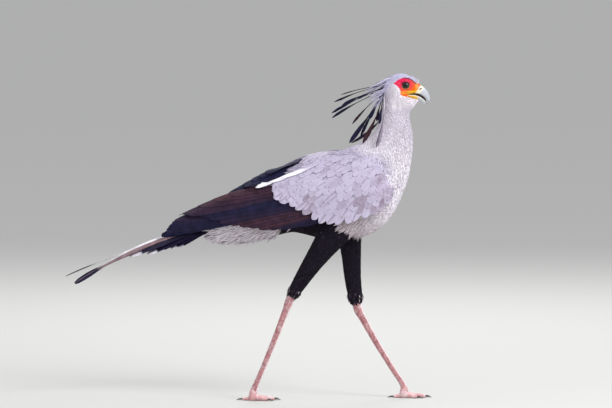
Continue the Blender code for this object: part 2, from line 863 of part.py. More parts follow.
def build_head():
    rings = body_rings(SKULL, 2, 20)
    rings[0] = moved_along(rings[0], rings[1], GAP)
    head = mesh_object("head", *shell(rings))
    chin = body_rings(CHIN, 1, 14)
    pieces = [shell(chin)]
    for side, sign in SIDES_OF.items():
        out = np.array([GAZE[0], sign * GAZE[1], GAZE[2]])
        first = np.cross(out, [0, 0, 1])
        first /= np.linalg.norm(first)
        second = np.cross(first, out)
        lid = eye_middle(side) + out * LID_OUT
        pieces.append(ring_tube(lid, first, second, LID_RING_RADIUS, LID_THICKNESS))
        brow = (BROW["forward"], sign * BROW["side"], BROW["up"])
        axes = [
            [BROW_ALONG[0], -sign * BROW_ALONG[1], -BROW_ALONG[2]],
            [0, 0, BROW["half_high"]],
            [0, sign * BROW["half_deep"], 0],
        ]
        pieces.append(ball(brow, axes, 8, 5))
    pieces += list(crest())
    join(head, pieces)
    for side in SIDES_OF:
        cut(head, *ball(eye_middle(side), np.eye(3) * (EYE["radius"] + GROW), 12, 8), "MANIFOLD")
    cut(head, *shell(stretched(body_rings(BILL_LOWER, 1, 12, GROW), GROW)), "MANIFOLD")
    cut(head, *mouth_gap(), "MANIFOLD")
    cut(head, *neck_cutter(), "MANIFOLD")
    finish(head, "plumage_white")


def build_eyes():
    for side in SIDES_OF:
        eye = mesh_object(f"eye_{side}", *ball(eye_middle(side), np.eye(3) * EYE["radius"], 12, 8))
        finish(eye, "eye")


def build_bill():
    rings = body_rings(BILL_UPPER, 1, 14)
    rings[0] = moved_along(rings[0], rings[1], GAP)
    upper = mesh_object("bill_upper", *shell(rings))
    slope = math.radians(NOSTRIL["slope_deg"])
    for sign in SIDES_OF.values():
        axes = [
            [NOSTRIL_HALF["long"] * math.cos(slope), 0, NOSTRIL_HALF["long"] * math.sin(slope)],
            [-NOSTRIL_HALF["high"] * math.sin(slope), 0, NOSTRIL_HALF["high"] * math.cos(slope)],
            [0, sign * NOSTRIL_HALF["deep"], 0],
        ]
        forward, up = NOSTRIL["centre"]
        cut(upper, *ball((forward, sign * NOSTRIL["side"], up), axes, 8, 4))
    finish(upper, "bill_horn")
    lower = mesh_object("bill_lower", *shell(body_rings(BILL_LOWER, 1, 12)))
    finish(lower, "bill_yellow")


def leg_shape(side, grow=0.0):
    return shell(stretched(limb_rings(leg_rows(LEG_UPPER[side], side), 3, 14, grow), grow))


def build_leg(side):
    thigh = mesh_object(f"thigh_{side}", *leg_shape(side))
    cut(thigh, *torso_shape(GROW))
    finish(thigh, "leg_black")
    rings = limb_rings(leg_rows(LEG_LOWER[side], side), 2, 14)
    upper = limb_rings(leg_rows(LEG_UPPER[side], side), 3, 14)
    rings[0] = moved_along(upper[-1], rings[1], GAP)
    shin = mesh_object(f"shin_{side}", *shell(rings))
    finish(shin, "leg_black")
    bone = limb_rings(leg_rows(TARSUS[side], side), 1, 14)
    middle = rings[-1].mean(axis=0)
    bone[0] = moved_along(middle + (rings[-1] - middle) * HEEL_SHARE, bone[1], GAP)
    tarsus = mesh_object(f"tarsus_{side}", *shell(bone))
    finish(tarsus, "tarsus_pink")


def toe_rings(side, name, profile, start, scale, stretch, sides=8):
    """Rings along a toe or claw: profile rows are distance, height, half height, half breadth."""
    heading = math.radians(TOES[name][0] * -SIDES_OF[side])
    forward, out, _, _, _ = TARSUS[side][-1]
    middle = np.array([forward, SIDES_OF[side] * out, 0])
    way = np.array([math.cos(heading), math.sin(heading), 0])
    side_way = np.array([-way[1], way[0], 0])
    rings = []
    for distance, height, half_high, half_wide in smooth(profile, 1):
        at = middle + way * (start + distance * stretch) + np.array([0, 0, height * scale])
        rings.append(oval(at, np.array([0, 0, half_high * scale]), side_way * half_wide * scale, sides))
    return rings


def build_foot(side):
    forward, out, _, _, _ = TARSUS[side][-1]
    hub_rows = [(forward + f, out, u, deep, wide) for f, u, deep, wide in FOOT_HUB]
    hub = limb_rings(leg_rows(hub_rows, side), 1, 10)
    hub[0] = moved_along(limb_rings(leg_rows(TARSUS[side], side), 1, 10)[-1], hub[1], GAP)
    foot = mesh_object(f"foot_{side}", *shell(hub))
    toes = []
    for name, (_, length, girth) in TOES.items():
        toes.append(shell(toe_rings(side, name, TOE_PROFILE, 0.0, girth, length)))
    join(foot, toes)
    reach = GROUND_BLOCK[0]
    cut(foot, *block((forward - reach, -reach, -GROUND_BLOCK[1]), (forward + reach, reach, 0)))
    finish(foot, "tarsus_pink")
    for name, (_, length, girth) in TOES.items():
        claw = toe_rings(side, name, CLAW_PROFILE, length + GAP, girth, 1.0, 6)
        made = mesh_object(f"claw_{side}_{name}", *shell(claw))
        finish(made, "claw_dark")


def block(low, high):
    low, high = np.array(low, float), np.array(high, float)
    points = [np.where([i & 1, i & 2, i & 4], high, low) for i in range(8)]
    faces = [(0, 1, 3, 2), (4, 6, 7, 5), (0, 4, 5, 1), (2, 3, 7, 6), (0, 2, 6, 4), (1, 5, 7, 3)]
    return np.array(points), faces


def build_wing(side):
    surface = WingSurface(side)
    wing = mesh_object(f"wing_{side}", *wing_core(surface))
    vanes = list(wing_feathers(surface))
    if side == "left":
        vanes += list(back_tertials())
    join(wing, vanes)
    cut(wing, *torso_shape(GROW))
    cut(wing, *leg_shape(side, GROW))
    finish(wing, "plumage_grey")


def build_tail():
    rings = body_rings(TAIL_STUMP, 1, 20)
    rings[0] = moved_along(rings[0], rings[1], GAP)
    tail = mesh_object("tail", *shell(rings))
    join(tail, tail_feathers())
    finish(tail, "flight_black")


def main():
    for obj in list(bpy.data.objects):
        bpy.data.objects.remove(obj)
    build_torso()
    build_neck()
    build_head()
    build_eyes()
    build_bill()
    build_tail()
    for side in SIDES_OF:
        build_leg(side)
        build_foot(side)
        build_wing(side)


main()
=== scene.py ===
"""The looks of a walking secretary bird: skin, plumage, bill, eyes, scaly legs, floor and light.

Tables are in millimetres, as points (forward, left, up) or (forward, up) seen from the right
side. Meshes are in metres, in the frame of the solids.
"""

import math

import bmesh
import bpy
import numpy as np
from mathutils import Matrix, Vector
from mathutils.bvhtree import BVHTree


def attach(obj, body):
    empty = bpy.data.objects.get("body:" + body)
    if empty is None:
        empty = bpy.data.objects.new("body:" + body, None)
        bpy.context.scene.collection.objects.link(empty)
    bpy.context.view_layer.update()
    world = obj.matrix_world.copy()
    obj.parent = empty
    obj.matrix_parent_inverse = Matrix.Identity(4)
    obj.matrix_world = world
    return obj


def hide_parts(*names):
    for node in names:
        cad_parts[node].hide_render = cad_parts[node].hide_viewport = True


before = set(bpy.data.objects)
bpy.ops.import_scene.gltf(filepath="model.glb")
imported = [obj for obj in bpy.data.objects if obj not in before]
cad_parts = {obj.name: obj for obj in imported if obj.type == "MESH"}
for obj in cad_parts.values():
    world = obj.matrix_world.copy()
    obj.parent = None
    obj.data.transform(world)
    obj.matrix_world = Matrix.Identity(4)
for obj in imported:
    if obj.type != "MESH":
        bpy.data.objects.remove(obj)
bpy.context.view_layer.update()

MM = 0.001
MIDDLE_FORWARD = 1.28
SIDES_OF = {"right": -1.0, "left": 1.0}

# The photograph: its size in pixels, the size of a pixel on the bird, and the pixel of forward 0, up 0.
PHOTO_SIZE = (612, 408)
PIXEL = 3.0
PHOTO_ZERO = (248, 400)
CAMERA_DISTANCE = 20.0
CAMERA_RISE_DEG = 4.0
SENSOR = 36.0
FLOOR_HALF = 60.0
FLOOR_DROP = -0.0002
FLOOR_PALE = (0.62, 0.62, 0.60, 1)
SKY_PALE = (0.90, 0.91, 0.93, 1)
SKY_STRENGTH = 0.72
LIGHT_TARGET = (0.15, 0, 0.6)
# Lights in metres and watts: place, size, power.
LIGHTS = {
    "key": ((3.2, -3.0, 3.6), 2.4, 190),
    "fill": ((-3.4, -2.6, 1.8), 3.0, 30),
    "back": ((0.4, 3.4, 3.4), 2.6, 90),
}

WHITE = (0.82, 0.77, 0.855)
NECK_WHITE = (0.66, 0.605, 0.70)
# The white of the plumage darkened by painted shade, for the underside of the body and the fluff under the
# tail.
SHADED_WHITE = (0.54, 0.46, 0.50)
BRIGHT_WHITE = (0.92, 0.90, 0.96)
GREY = (0.53, 0.485, 0.64)
DARK_GREY = (0.28, 0.215, 0.29)
PALE_GREY = (0.60, 0.58, 0.78)
# Black with a bluish sheen painted in: partly the feathers' own black, partly painted reflection.
BLUE_SHEEN_BLACK = (0.0125, 0.012, 0.040)
BROWN_BLACK = (0.056, 0.023, 0.033)
BROWN_EDGE = (0.15, 0.075, 0.075)
LEG_BLACK = (0.013, 0.009, 0.017)
LEG_SPECK = (0.07, 0.055, 0.085)
TAIL_BROWN = (0.27, 0.175, 0.195)
RED = (0.70, 0.010, 0.085)
ORANGE = (0.80, 0.115, 0.0)
YELLOW = (0.78, 0.42, 0.02)
CERE = (0.80, 0.75, 0.58)
HORN = (0.46, 0.485, 0.53)
HORN_TIP = (0.26, 0.20, 0.20)
# Painted shade inside the mouth: the palate strip and the tongue are coloured as the shade between the
# mandibles.
MOUTH_SHADE = (0.03, 0.014, 0.012)
BROW_DARK = (0.07, 0.025, 0.05)
LID_DARK = (0.035, 0.012, 0.02)
CHEEK_WHITE = (0.84, 0.785, 0.86)
LIP_PALE = (0.78, 0.72, 0.66)
EYE_RIM = (0.42, 0.30, 0.04)
PINK = (0.74, 0.42, 0.43)
PINK_PALE = (0.90, 0.74, 0.76)
PINK_GROOVE = (0.27, 0.085, 0.10)
SOLE = (0.30, 0.20, 0.17)
SOCKET_SHADE = (0.02, 0.01, 0.014)
LASH_BLACK = (0.010, 0.008, 0.010)
CLAW = (0.05, 0.043, 0.043)

# The body's middle line from the bill to the tail: forward, up, then the plumage there:
# length, width and lift of a small feather, and how deep the skin lies under the solids.
SPINE = [
    (508, 934, 5, 1.9, 0.7, 1.4),
    (470, 944, 7, 2.3, 0.5, 1.7),
    (440, 925, 10, 2.7, 0.55, 2.2),
    (436, 890, 15, 3.2, 0.6, 3.0),
    (440, 850, 20, 3.7, 0.65, 4.0),
    (432, 790, 23, 4.4, 0.8, 4.6),
    (410, 720, 26, 5.6, 1.0, 5.0),
    (350, 655, 28, 6.8, 1.5, 5.2),
    (270, 615, 28, 7.0, 2.6, 5.2),
    (180, 590, 29, 7.5, 3.0, 5.2),
    (90, 570, 31, 7.5, 3.4, 5.2),
    (0, 552, 33, 7.0, 3.6, 5.2),
    (-90, 528, 34, 6.0, 3.0, 4.4),
    (-170, 515, 30, 5.0, 2.4, 3.0),
]
SPINE_REACH = 25.0

# Skull, chin, jaw and tail stump: back point, belly point, half width.
SKULL = [
    (403, 913, 492, 866, 32.5),
    (402, 936, 490, 886, 33),
    (409, 957, 484, 903, 33.5),
    (425, 971, 480, 912, 33.5),
    (446, 980, 482, 914, 32),
    (469, 980, 488, 915.5, 29),
    (490, 970, 497, 918, 22.5),
    (508, 953, 506, 920.6, 15),
]
CHIN = [
    (438, 893, 489.5, 867, 27),
    (456, 912, 499, 877, 26.5),
    (474, 913, 505, 887, 22),
    (492, 908, 510, 893.5, 15.5),
    (510, 903, 514, 899.5, 7),
]
JAW = [
    (448, 934, 450, 921.5, 24),
    (462, 937, 463, 921.3, 21.5),
    (476, 938, 477, 921, 18.8),
    (492, 938, 492, 921, 16),
    (508, 937, 507, 920.8, 13.4),
]
TAIL_STUMP = [
    (-60, 598, -66, 476, 40),
    (-78, 588, -84, 474, 36),
    (-112, 566, -118, 494, 27),
    (-145, 547, -150, 508, 19),
    (-172, 532, -175, 513, 12),
]
# The bare face from the side, and its gape strip along the mouth.
FACE_PATCH = [
    (434, 953), (442, 957.5), (452, 964.5), (468, 970), (482, 968.5), (493, 962.5), (501, 955),
    (512, 946), (514, 921), (514, 906), (503, 904), (490, 907.5), (474, 911.5), (463, 914.5),
    (456, 919), (457, 927), (454.5, 935), (447, 944),
]
EYE = (472.5, 945.3)
EYE_SIDE = 21.5
EYE_HALF = (12.0, 10.2)
IRIS_RADIUS = 9.4
PUPIL_RADIUS = 5.2
IRIS_OUTER = (0.085, 0.07, 0.045)
IRIS_INNER = (0.026, 0.024, 0.03)
IRIS_RIM = (0.02, 0.012, 0.012)
PUPIL_DARK = (0.004, 0.004, 0.005)
EYE_BACK = (0.02, 0.02, 0.02)

BILL_UPPER = [
    (503, 956, 501, 920.6, 14.2),
    (508, 953, 506, 920.6, 13.8),
    (517, 945.5, 512, 920.3, 12.4),
    (525, 940.5, 519, 917, 10.6),
    (533, 934, 525.5, 913, 8.9),
    (539.5, 924, 531.5, 909, 7.2),
    (544, 914, 536, 903.5, 5.4),
    (545.3, 905, 538.3, 897, 3.7),
    (543.8, 897, 539.2, 892, 2.1),
    (540.5, 889.5, 539.2, 888.6, 0.6),
]
BILL_LOWER = [
    (458, 917.4, 459, 912.4, 17.5),
    (471, 917.4, 472, 910.0, 17.6),
    (490, 916.4, 490, 904.8, 15.2),
    (503, 914.6, 503, 901.2, 12.3),
    (514, 910.8, 513, 898, 9.3),
    (524.5, 904, 522.5, 891.8, 6),
    (531.3, 897.5, 529, 888.8, 3),
    (536.5, 889.5, 534.5, 887.3, 0.8),
]
TONGUE = [
    (456, 921.5, 456, 916, 13.5),
    (475, 922.5, 475, 914.5, 13.5),
    (495, 922, 495, 911, 11.5),
    (510, 919.5, 509, 907, 8.5),
    (522, 914, 519, 900, 5.2),
    (530, 907, 525.5, 895, 2.6),
    (534, 899, 531.5, 893, 0.8),
]
NOSTRIL = (516.5, 934)
NOSTRIL_HALF = (5.2, 1.5)
LOWER_BILL_TOP = [(458, 917.4), (490, 916.4), (503, 914.6), (514, 910.8), (524, 904), (531, 897.5)]
NOSTRIL_SLOPE_DEG = 34
# Painted shade in the hollow of the nostril.
NOSTRIL_SHADE = (0.10, 0.08, 0.02)
# The small tuft over the bill's root: its line from the side, and how many feathers.
FOREHEAD_TOP = [(490, 968), (500, 959), (511, 949)]
FOREHEAD_COUNT = 70

# Legs: forward, distance from the midline, up, half depth, half breadth.
LEG_LINE = {
    "right": [(292, 42, 585), (264, 46, 520), (231, 44, 466), (192, 41, 411), (159, 39, 360), (129, 37, 310)],
    "left": [(292, 44, 585), (300, 47, 530), (306, 48, 478), (310, 48, 426), (314, 48, 366), (325, 48, 286)],
}
TARSUS = {
    "right": [
        (134, 37.3, 322, 12.5, 11.5),
        (129, 37, 310, 13, 11.8),
        (122, 37, 292, 13, 11.5),
        (113, 37, 268, 10.8, 9.6),
        (83, 36.5, 190, 9.0, 8.2),
        (48, 36, 104, 8.0, 7.6),
        (25, 36, 50, 8.4, 8.4),
        (16, 36, 27, 10.2, 10.2),
    ],
    "left": [
        (322, 48, 298, 12.5, 11.5),
        (325.5, 48, 286, 13, 11.8),
        (333, 48, 262, 13, 11.5),
        (346, 48, 238, 10.8, 9.6),
        (388, 48, 163, 9.0, 8.2),
        (435, 48, 87, 8.0, 7.6),
        (462, 48, 46, 8.4, 8.4),
        (470, 48, 27, 10.2, 10.2),
    ],
}
FOOT_HUB = [
    (0, 34, 9.6, 9.6),
    (0, 29, 10.2, 10.2),
    (-1, 20, 12.2, 12.8),
    (-1, 9, 13.2, 14.6),
    (0, 0.4, 10.5, 12),
]
# Length, width and lift of the small feathers on the legs.
LEG_FEATHER = (11.0, 3.8, 1.2)
# Toes: degrees from straight ahead, length, girth.
TOES = {
    "middle": (2, 64, 1.0),
    "inner": (-29, 50, 0.94),
    "outer": (33, 47, 0.9),
    "hind": (176, 33, 0.8),
}
TOE_PROFILE = [
    (0.0, 12.0, 8.5, 8.5),
    (0.3, 8.4, 8.2, 8.1),
    (0.5, 6.6, 6.9, 7.0),
    (0.66, 6.5, 6.8, 7.5),
    (0.86, 5.5, 5.8, 6.3),
    (1.0, 5.0, 4.6, 4.6),
]
CLAW_PROFILE = [
    (-3.0, 5.0, 3.6, 3.0),
    (0.0, 5.0, 3.7, 3.1),
    (6.0, 5.3, 3.2, 2.5),
    (12.0, 3.9, 2.2, 1.7),
    (18.0, 1.3, 0.7, 0.6),
]

# Folded wings: forward, height and distance from the midline of the upper edge, height and
# distance of the widest line, height of the lower edge.
WING_ROWS = {
    "right": [
        (428, 636, 52, 630, 60, 624),
        (412, 674, 56, 636, 73, 600),
        (384, 707, 58, 634, 82, 575),
        (342, 727, 52, 626, 86, 553),
        (276, 729, 40, 614, 86, 536),
        (216, 716, 38, 602, 80, 532),
        (156, 688, 38, 590, 73, 529),
        (96, 657, 35, 577, 66, 522),
        (27, 632, 27, 568, 58, 519),
        (-48, 616, 20, 556, 50, 526),
        (-135, 582, 16, 534, 40, 512),
        (-213, 544, 15, 516, 31, 500),
        (-262, 508, 18, 499, 25, 487),
    ],
    "left": [
        (428, 636, 52, 630, 60, 624),
        (412, 674, 56, 636, 73, 600),
        (384, 707, 58, 634, 82, 575),
        (342, 730, 48, 628, 86, 555),
        (276, 741, 27, 622, 86, 540),
        (216, 733, 24, 612, 80, 537),
        (156, 716, 24, 600, 73, 534),
        (96, 682, 24, 586, 66, 528),
        (27, 646, 20, 572, 58, 524),
        (-48, 609, 17, 556, 50, 527),
        (-135, 577, 15, 534, 40, 512),
        (-213, 542, 15, 516, 31, 500),
        (-262, 508, 18, 499, 25, 487),
    ],
}
ROOF_POWER = 2.2
UNDER_TUCK = 5.0
WING_CORE = [
    (424, 630), (404, 600), (372, 580), (330, 574), (285, 574),
    (240, 582), (190, 600), (140, 618), (95, 636), (60, 640),
]
CORE_EDGE = 16.0
CORE_BULGE = 3.0
CORE_TOP = 3.0
CORE_DEPTH = 34.0
CORE_FRONT = (428, 372)
CORE_FRONT_SHARE = 0.35
TOP_LIFT = 0.5
TOP_LIFT_DEPTH = 0.3
TOP_OVERHANG = 0.03
TERTIAL_START = (235, 120)
TERTIAL_TOP = 19.6

# Flight feathers from the lowest up: roots and tips along these lines, seen from the side.
FLIGHT_ROWS = {
    "primary": {
        "count": 7,
        "roots": [(215, 596), (200, 604), (180, 612)],
        "tips": [(-258, 493), (-250, 502), (-236, 517), (-219, 537)],
        "width": (28, 32),
        "bend": -4,
        "lift": 0.6,
        "step": 0.8,
        "brown": [(0, 0.0), (1, 0.15)],
    },
    "secondary": {
        "count": 13,
        "roots": [(318, 580), (270, 584), (225, 597), (165, 618)],
        "tips": [
            (156, 530), (100, 522), (50, 519), (0, 524), (-48, 531), (-96, 541), (-148, 556), (-205, 556),
        ],
        "width": (27, 34),
        "bend": -4,
        "lift": 6.2,
        "step": 0.6,
        "brown": [(0, 0.05), (0.2, 0.2), (0.33, 0.85), (0.55, 0.9), (0.68, 0.1), (1, 0.0)],
    },
    "tertial": {
        "count": 5,
        "roots": [(150, 632), (112, 652)],
        "tips": [(-190, 556), (-170, 570), (-120, 590), (-60, 612), (-10, 630)],
        "width": (40, 34),
        "bend": -3,
        "lift": 14.6,
        "step": 1.1,
        "brown": [(0, 0.5), (0.4, 0.9), (1, 0.9)],
    },
}
# Lower and upper bounds of the grey coverts, from the wrist back: forward, up.
COVERT_LOW = [
    (429, 622), (405, 586), (378, 566), (342, 553), (309, 544), (276, 532), (240, 537),
    (216, 538), (189, 552), (156, 570), (130, 588), (84, 601), (70, 618),
]
COVERT_HIGH = [
    (431, 642), (414, 678), (384, 710), (342, 730), (276, 733), (216, 720), (156, 694), (112, 671), (82, 650),
]
# Rows of coverts: share of the way down, count, length, width.
COVERT_ROWS = [
    (1.0, 16, 84, 33),
    (0.87, 17, 70, 29),
    (0.75, 18, 62, 26),
    (0.64, 18, 56, 24),
    (0.53, 18, 52, 22),
    (0.43, 18, 48, 21),
    (0.33, 17, 46, 20),
    (0.24, 17, 44, 19),
    (0.15, 16, 42, 18),
    (0.07, 16, 40, 17),
    (0.0, 15, 40, 15),
]
# White-edged feathers along the top of the coverts: root and tip from the side, and width.
WHITE_STREAKS = [
    ((206, 704), (104, 660), 11),
    ((172, 690), (64, 643), 11),
    ((136, 673), (28, 627), 12),
]
# Grey feathers of the back between the wings: rows of tips from front to back, and their sizes.
MANTLE_ROWS = (392, 160, 14)
MANTLE_WIDE = 7
MANTLE_FEATHER = (66, 26)
MANTLE_ARCH = 6.0
MANTLE_OVER_FAR = 1.16
# How steeply the coverts point down, by distance forward: along the lower and the upper bound.
COVERT_SLOPE_LOW = [(30, 27), (130, 36), (240, 48), (340, 64), (430, 84)]
COVERT_SLOPE_HIGH = [(30, 24), (240, 22), (360, 24), (430, 70)]

BACK_TERTIALS = [
    ((190, 27, 718), (-60, -6, 618), 40, 6),
    ((184, 26, 717), (-40, -8, 629), 40, 6),
    ((180, 26, 717), (-18, -10, 642), 42, 6),
    ((174, 25, 715), (8, -12, 657), 42, 6),
    ((170, 25, 714), (30, -12, 669), 38, 6),
    ((166, 24, 712), (50, -13, 681), 36, 5),
]
BACK_RISE = 0.25
# The same over the back, down to the right wing: root, tip, width, bow.
BACK_LOW_TERTIALS = [
    ((190, -26, 698), (-14, -22, 641), 30, 5),
    ((186, -14, 706), (-2, -18, 647), 34, 5),
    ((184, -2, 711), (12, -14, 655), 36, 6),
    ((180, 10, 715), (28, -8, 665), 36, 6),
]
BACK_LOW_FALL = 0.45
BACK_TWIST_DEG = -45

# Tail feathers, centre pair first: tip forward, tip up, width, bow.
TAIL_FEATHERS = {
    "right": [
        (-520, 351, 29, 24),
        (-356, 433, 34, 3),
        (-302, 440, 34, 3),
        (-276, 448, 34, 3),
        (-232, 457, 32, 3),
        (-208, 462, 30, 3),
    ],
    "left": [
        (-548, 369, 28, 9),
        (-346, 433, 34, 2),
        (-314, 441, 34, 2),
        (-276, 450, 34, 2),
        (-242, 460, 32, 2),
        (-206, 467, 30, 2),
    ],
}
TAIL_ROOT = (-118, 523)
TAIL_STEP_DOWN = 3.2
TAIL_LEAN_DEG = 25
# How the centre pair turns on its way to the tip: share of the length, degrees from its lean.
TAIL_TURN = {
    "right": [(0, 16), (0.35, 20), (0.6, 8), (0.78, -12), (0.86, 4), (0.94, 18), (1, 22)],
    "left": [(0, 0), (0.3, -8), (0.6, -20), (0.75, -17), (1, -13)],
}

# Crest plumes: root, tip, club width, bow, and how brown; -1 is a pale plume with dark edges.
CREST_PLUMES = [
    ((405, -8, 944), (279, -14, 917), 4, (0, 0, 4), 0.1),
    ((405, 8, 943), (259, 14, 894), 8, (0, 0, 5), 0.0),
    ((408, -12, 936), (282, -20, 886), 10, (0, 0, 5), 0.0),
    ((408, -16, 938), (328, -26, 905), 9, (0, 0, 3), 0.1),
    ((407, 10, 930), (251, 22, 860), 11, (0, 0, 8), 0.0),
    ((408, -6, 928), (252, -8, 847), 12, (0, 0, 7), 0.0),
    ((409, 15, 924), (313, 38, 827), 8, (0, 0, 6), 0.9),
    ((405, -2, 928), (304, -10, 772), 16, (9, 0, 6), 0.0),
    ((408, 10, 925), (310, 20, 770), 11, (38, 22, -6), 0.2),
    ((407, -8, 930), (362, -30, 843), 12, (2, -2, 3), 0.0),
    ((406, -6, 928), (344, -26, 772), 15, (10, -4, 4), 1.0),
    ((409, -12, 930), (394, -46, 832), 11, (-2, -10, 0), 0.0),
    ((408, -12, 924), (385, -54, 762), 12, (8, -14, 0), -1),
    ((407, 8, 928), (338, 44, 790), 10, (2, 4, 6), 0.1),
    ((409, 12, 928), (386, 48, 834), 10, (-2, 10, 0), 0.0),
    ((408, 12, 924), (376, 56, 768), 11, (6, 14, 0), 0.2),
]
CREST_LOW_TIP = 860
PLUME_SHAFT = 2.3
PLUME_TONE = 0.7
# Pale wisps from the nape over the roots of the crest: where the highest and the lowest end.
NAPE_ROOTS = (406, 436, 905, 970)
NAPE_TIPS = ((328, 924), (374, 866))
NAPE_COUNT = 210

# Outlines of vanes: share of the length, share of the width.
OUTLINES = {
    "flight": [(0.0, 0.12), (0.06, 0.45), (0.2, 0.85), (0.5, 1.0), (0.85, 0.88), (0.95, 0.62), (1.0, 0.14)],
    "covert": [(0.0, 0.2), (0.15, 0.7), (0.45, 1.0), (0.7, 0.93), (0.86, 0.7), (0.95, 0.42), (1.0, 0.12)],
    "tail": [(0.0, 0.3), (0.3, 0.66), (0.62, 1.0), (0.9, 0.92), (0.97, 0.7), (1.0, 0.3)],
    "plume": [(0.0, 0.0), (0.4, 0.05), (0.58, 0.3), (0.74, 0.8), (0.87, 1.0), (0.95, 0.74), (1.0, 0.14)],
    "wisp": [(0.0, 0.5), (0.3, 1.0), (0.7, 0.7), (1.0, 0.1)],
    "slim": [(0.0, 0.2), (0.2, 0.8), (0.6, 1.0), (0.9, 0.7), (1.0, 0.15)],
}
# Places across a vane from edge to edge, with a narrow ridge for the shaft, and its fine ribs.
BARB_PITCH = 1.1
ACROSS = np.array([-1, -0.9, -0.62, -0.3, -0.05, 0, 0.05, 0.3, 0.62, 0.9, 1])

# The black of the legs and hind belly, seen from the side.
BLACK_ZONE = [
    (96, 490), (108, 520), (156, 536), (246, 556), (276, 542), (291, 524), (312, 513),
    (336, 500), (362, 478), (400, 400), (400, 200), (40, 200), (150, 470),
]

# Small feathers: shares of the length, shares of the width there, how deep their roots sit, how near
# the skin has to be for them to follow it, and the size of one on the unwrap.
TUFT_SHARES = (0.0, 0.3, 0.7, 1.0)
TUFT_WIDTHS = np.array([0.4, 0.95, 0.8, 0.08])
TUFT_RIDGE = 0.26
TUFT_KEEL = 0.14
TUFT_SINK = 0.5
SKIN_REACH = 3.5
PATCH = 0.003
HEAD_END, NECK_END, BREAST_END = 0.2, 0.4, 0.56
SKIN_VOXEL = 4.0
# Where the skin is made finer for the face, how far under the solids it lies, and the half width of
# the feathered ridge between the bare sides of the face.
FINE_HEAD = (428, 890)
LEG_DEPTH = 3.0
WING_DEPTH = 2.5
FACE_DEPTH = 0.5
CROWN_HALF = 6
# Distances between small feathers.
SPACING = {
    "head": 1.7,
    "neck": 2.6,
    "breast": 3.5,
    "body": 4.6,
    "leg": 3.4,
    "vent": 6.5,
    "wing": 5.6,
}

# Scales of the lower legs: columns round the leg, size of a scale and of a front plate.
SCALES_ROUND = 13
SCALE_SIZE = 4.6
SCUTE_SIZE = 8.0
FOOT_VOXEL = 1.25
TOE_BAND = 4.3
TOE_SCALE = 2.3

rng = np.random.default_rng(11)
NOISE_CELLS = np.random.default_rng(5).random((48, 48, 48))


def noise(points, size):
    """Soft noise from 0 to 1 at points, with blobs of this size."""
    at = np.asarray(points, float) / size + 1000
    low = np.floor(at).astype(int)
    part = at - low
    part = part * part * (3 - 2 * part)
    total = np.zeros(len(at))
    for corner in np.ndindex(2, 2, 2):
        share = np.prod(np.where(corner, part, 1 - part), axis=1)
        total += share * NOISE_CELLS[tuple(((low + corner) % 48).T)]
    return total


def smooth(stations, steps):
    """A curve through the stations, with this many steps between each pair."""
    inner = np.array(stations, float)
    rows = np.vstack([2 * inner[0] - inner[1], inner, 2 * inner[-1] - inner[-2]])
    found = []
    for a, b, c, d in zip(rows, rows[1:], rows[2:], rows[3:]):
        for t in np.arange(steps) / steps:
            square = (2 * a - 5 * b + 4 * c - d) * t**2
            cube = (3 * b - a - 3 * c + d) * t**3
            found.append(0.5 * (2 * b + (c - a) * t + square + cube))
    found.append(inner[-1])
    return np.array(found)


def along(points, share):
    """The points at these shares of the way along a line of points."""
    points = np.array(points, float)
    lengths = np.linalg.norm(np.diff(points, axis=0), axis=1)
    walked = np.concatenate([[0.0], np.cumsum(lengths)])
    at = np.asarray(share) * walked[-1]
    return np.stack([np.interp(at, walked, column) for column in points.T], axis=-1)


def mix(first, second, share):
    share = np.asarray(share, float)
    first, second = np.asarray(first, float), np.asarray(second, float)
    if share.ndim and (first.ndim or second.ndim):
        share = share[..., None]
    return first + (second - first) * share


def ease(low, high, value):
    """From 0 at low to 1 at high, softly."""
    share = np.clip((value - low) / (high - low), 0.0, 1.0)
    return share * share * (3 - 2 * share)


def read_table(table, at):
    """Values at these places, from rows of a place and a value."""
    return np.interp(at, *np.array(table, float).T)


def unit(vectors):
    return vectors / np.maximum(np.linalg.norm(vectors, axis=-1, keepdims=True), 1e-9)


def edge_distance(polygon, forward, up):
    """Distance to the polygon's edge, negative inside."""
    at = np.stack([forward, up], axis=-1)
    corners = np.array(polygon, float)
    best, inside = np.full(len(at), 1e9), np.zeros(len(at), bool)
    for a, b in zip(corners, np.roll(corners, -1, axis=0)):
        way = b - a
        share = np.clip((at - a) @ way / (way @ way), 0, 1)
        best = np.minimum(best, np.linalg.norm(at - a - share[:, None] * way, axis=1))
        crosses = (a[1] > at[:, 1]) != (b[1] > at[:, 1])
        with np.errstate(divide="ignore", invalid="ignore"):
            reach = a[0] + (at[:, 1] - a[1]) / (b[1] - a[1]) * way[0]
        inside ^= crosses & (at[:, 0] < reach)
    return np.where(inside, -best, best)


def oval(middle, first, second, sides, power=2.0):
    turn = 2 * math.pi * np.arange(sides) / sides
    cos, sin = np.cos(turn), np.sin(turn)
    cos, sin = np.sign(cos) * abs(cos) ** (2 / power), np.sign(sin) * abs(sin) ** (2 / power)
    return middle + np.outer(cos, first) + np.outer(sin, second)


def body_rings(stations, steps, sides, power=2.0):
    """Oval rings between back and belly points, each in the plane of its two points."""
    rings = []
    for back_f, back_u, belly_f, belly_u, half in smooth(stations, steps):
        back, belly = np.array([back_f, 0, back_u]), np.array([belly_f, 0, belly_u])
        rings.append(oval((back + belly) / 2, (back - belly) / 2, np.array([0, half, 0]), sides, power))
    return rings


def limb_rings(stations, steps, sides):
    """Oval rings square to a path: rows are forward, left, up, half depth, half breadth."""
    rows = smooth(stations, steps)
    ways = np.gradient(rows[:, :3], axis=0)
    rings = []
    for row, way in zip(rows, ways):
        fore = unit(np.cross([0, 1, 0], way))
        side = unit(np.cross(way, fore))
        rings.append(oval(row[:3], fore * row[3], side * row[4], sides))
    return rings


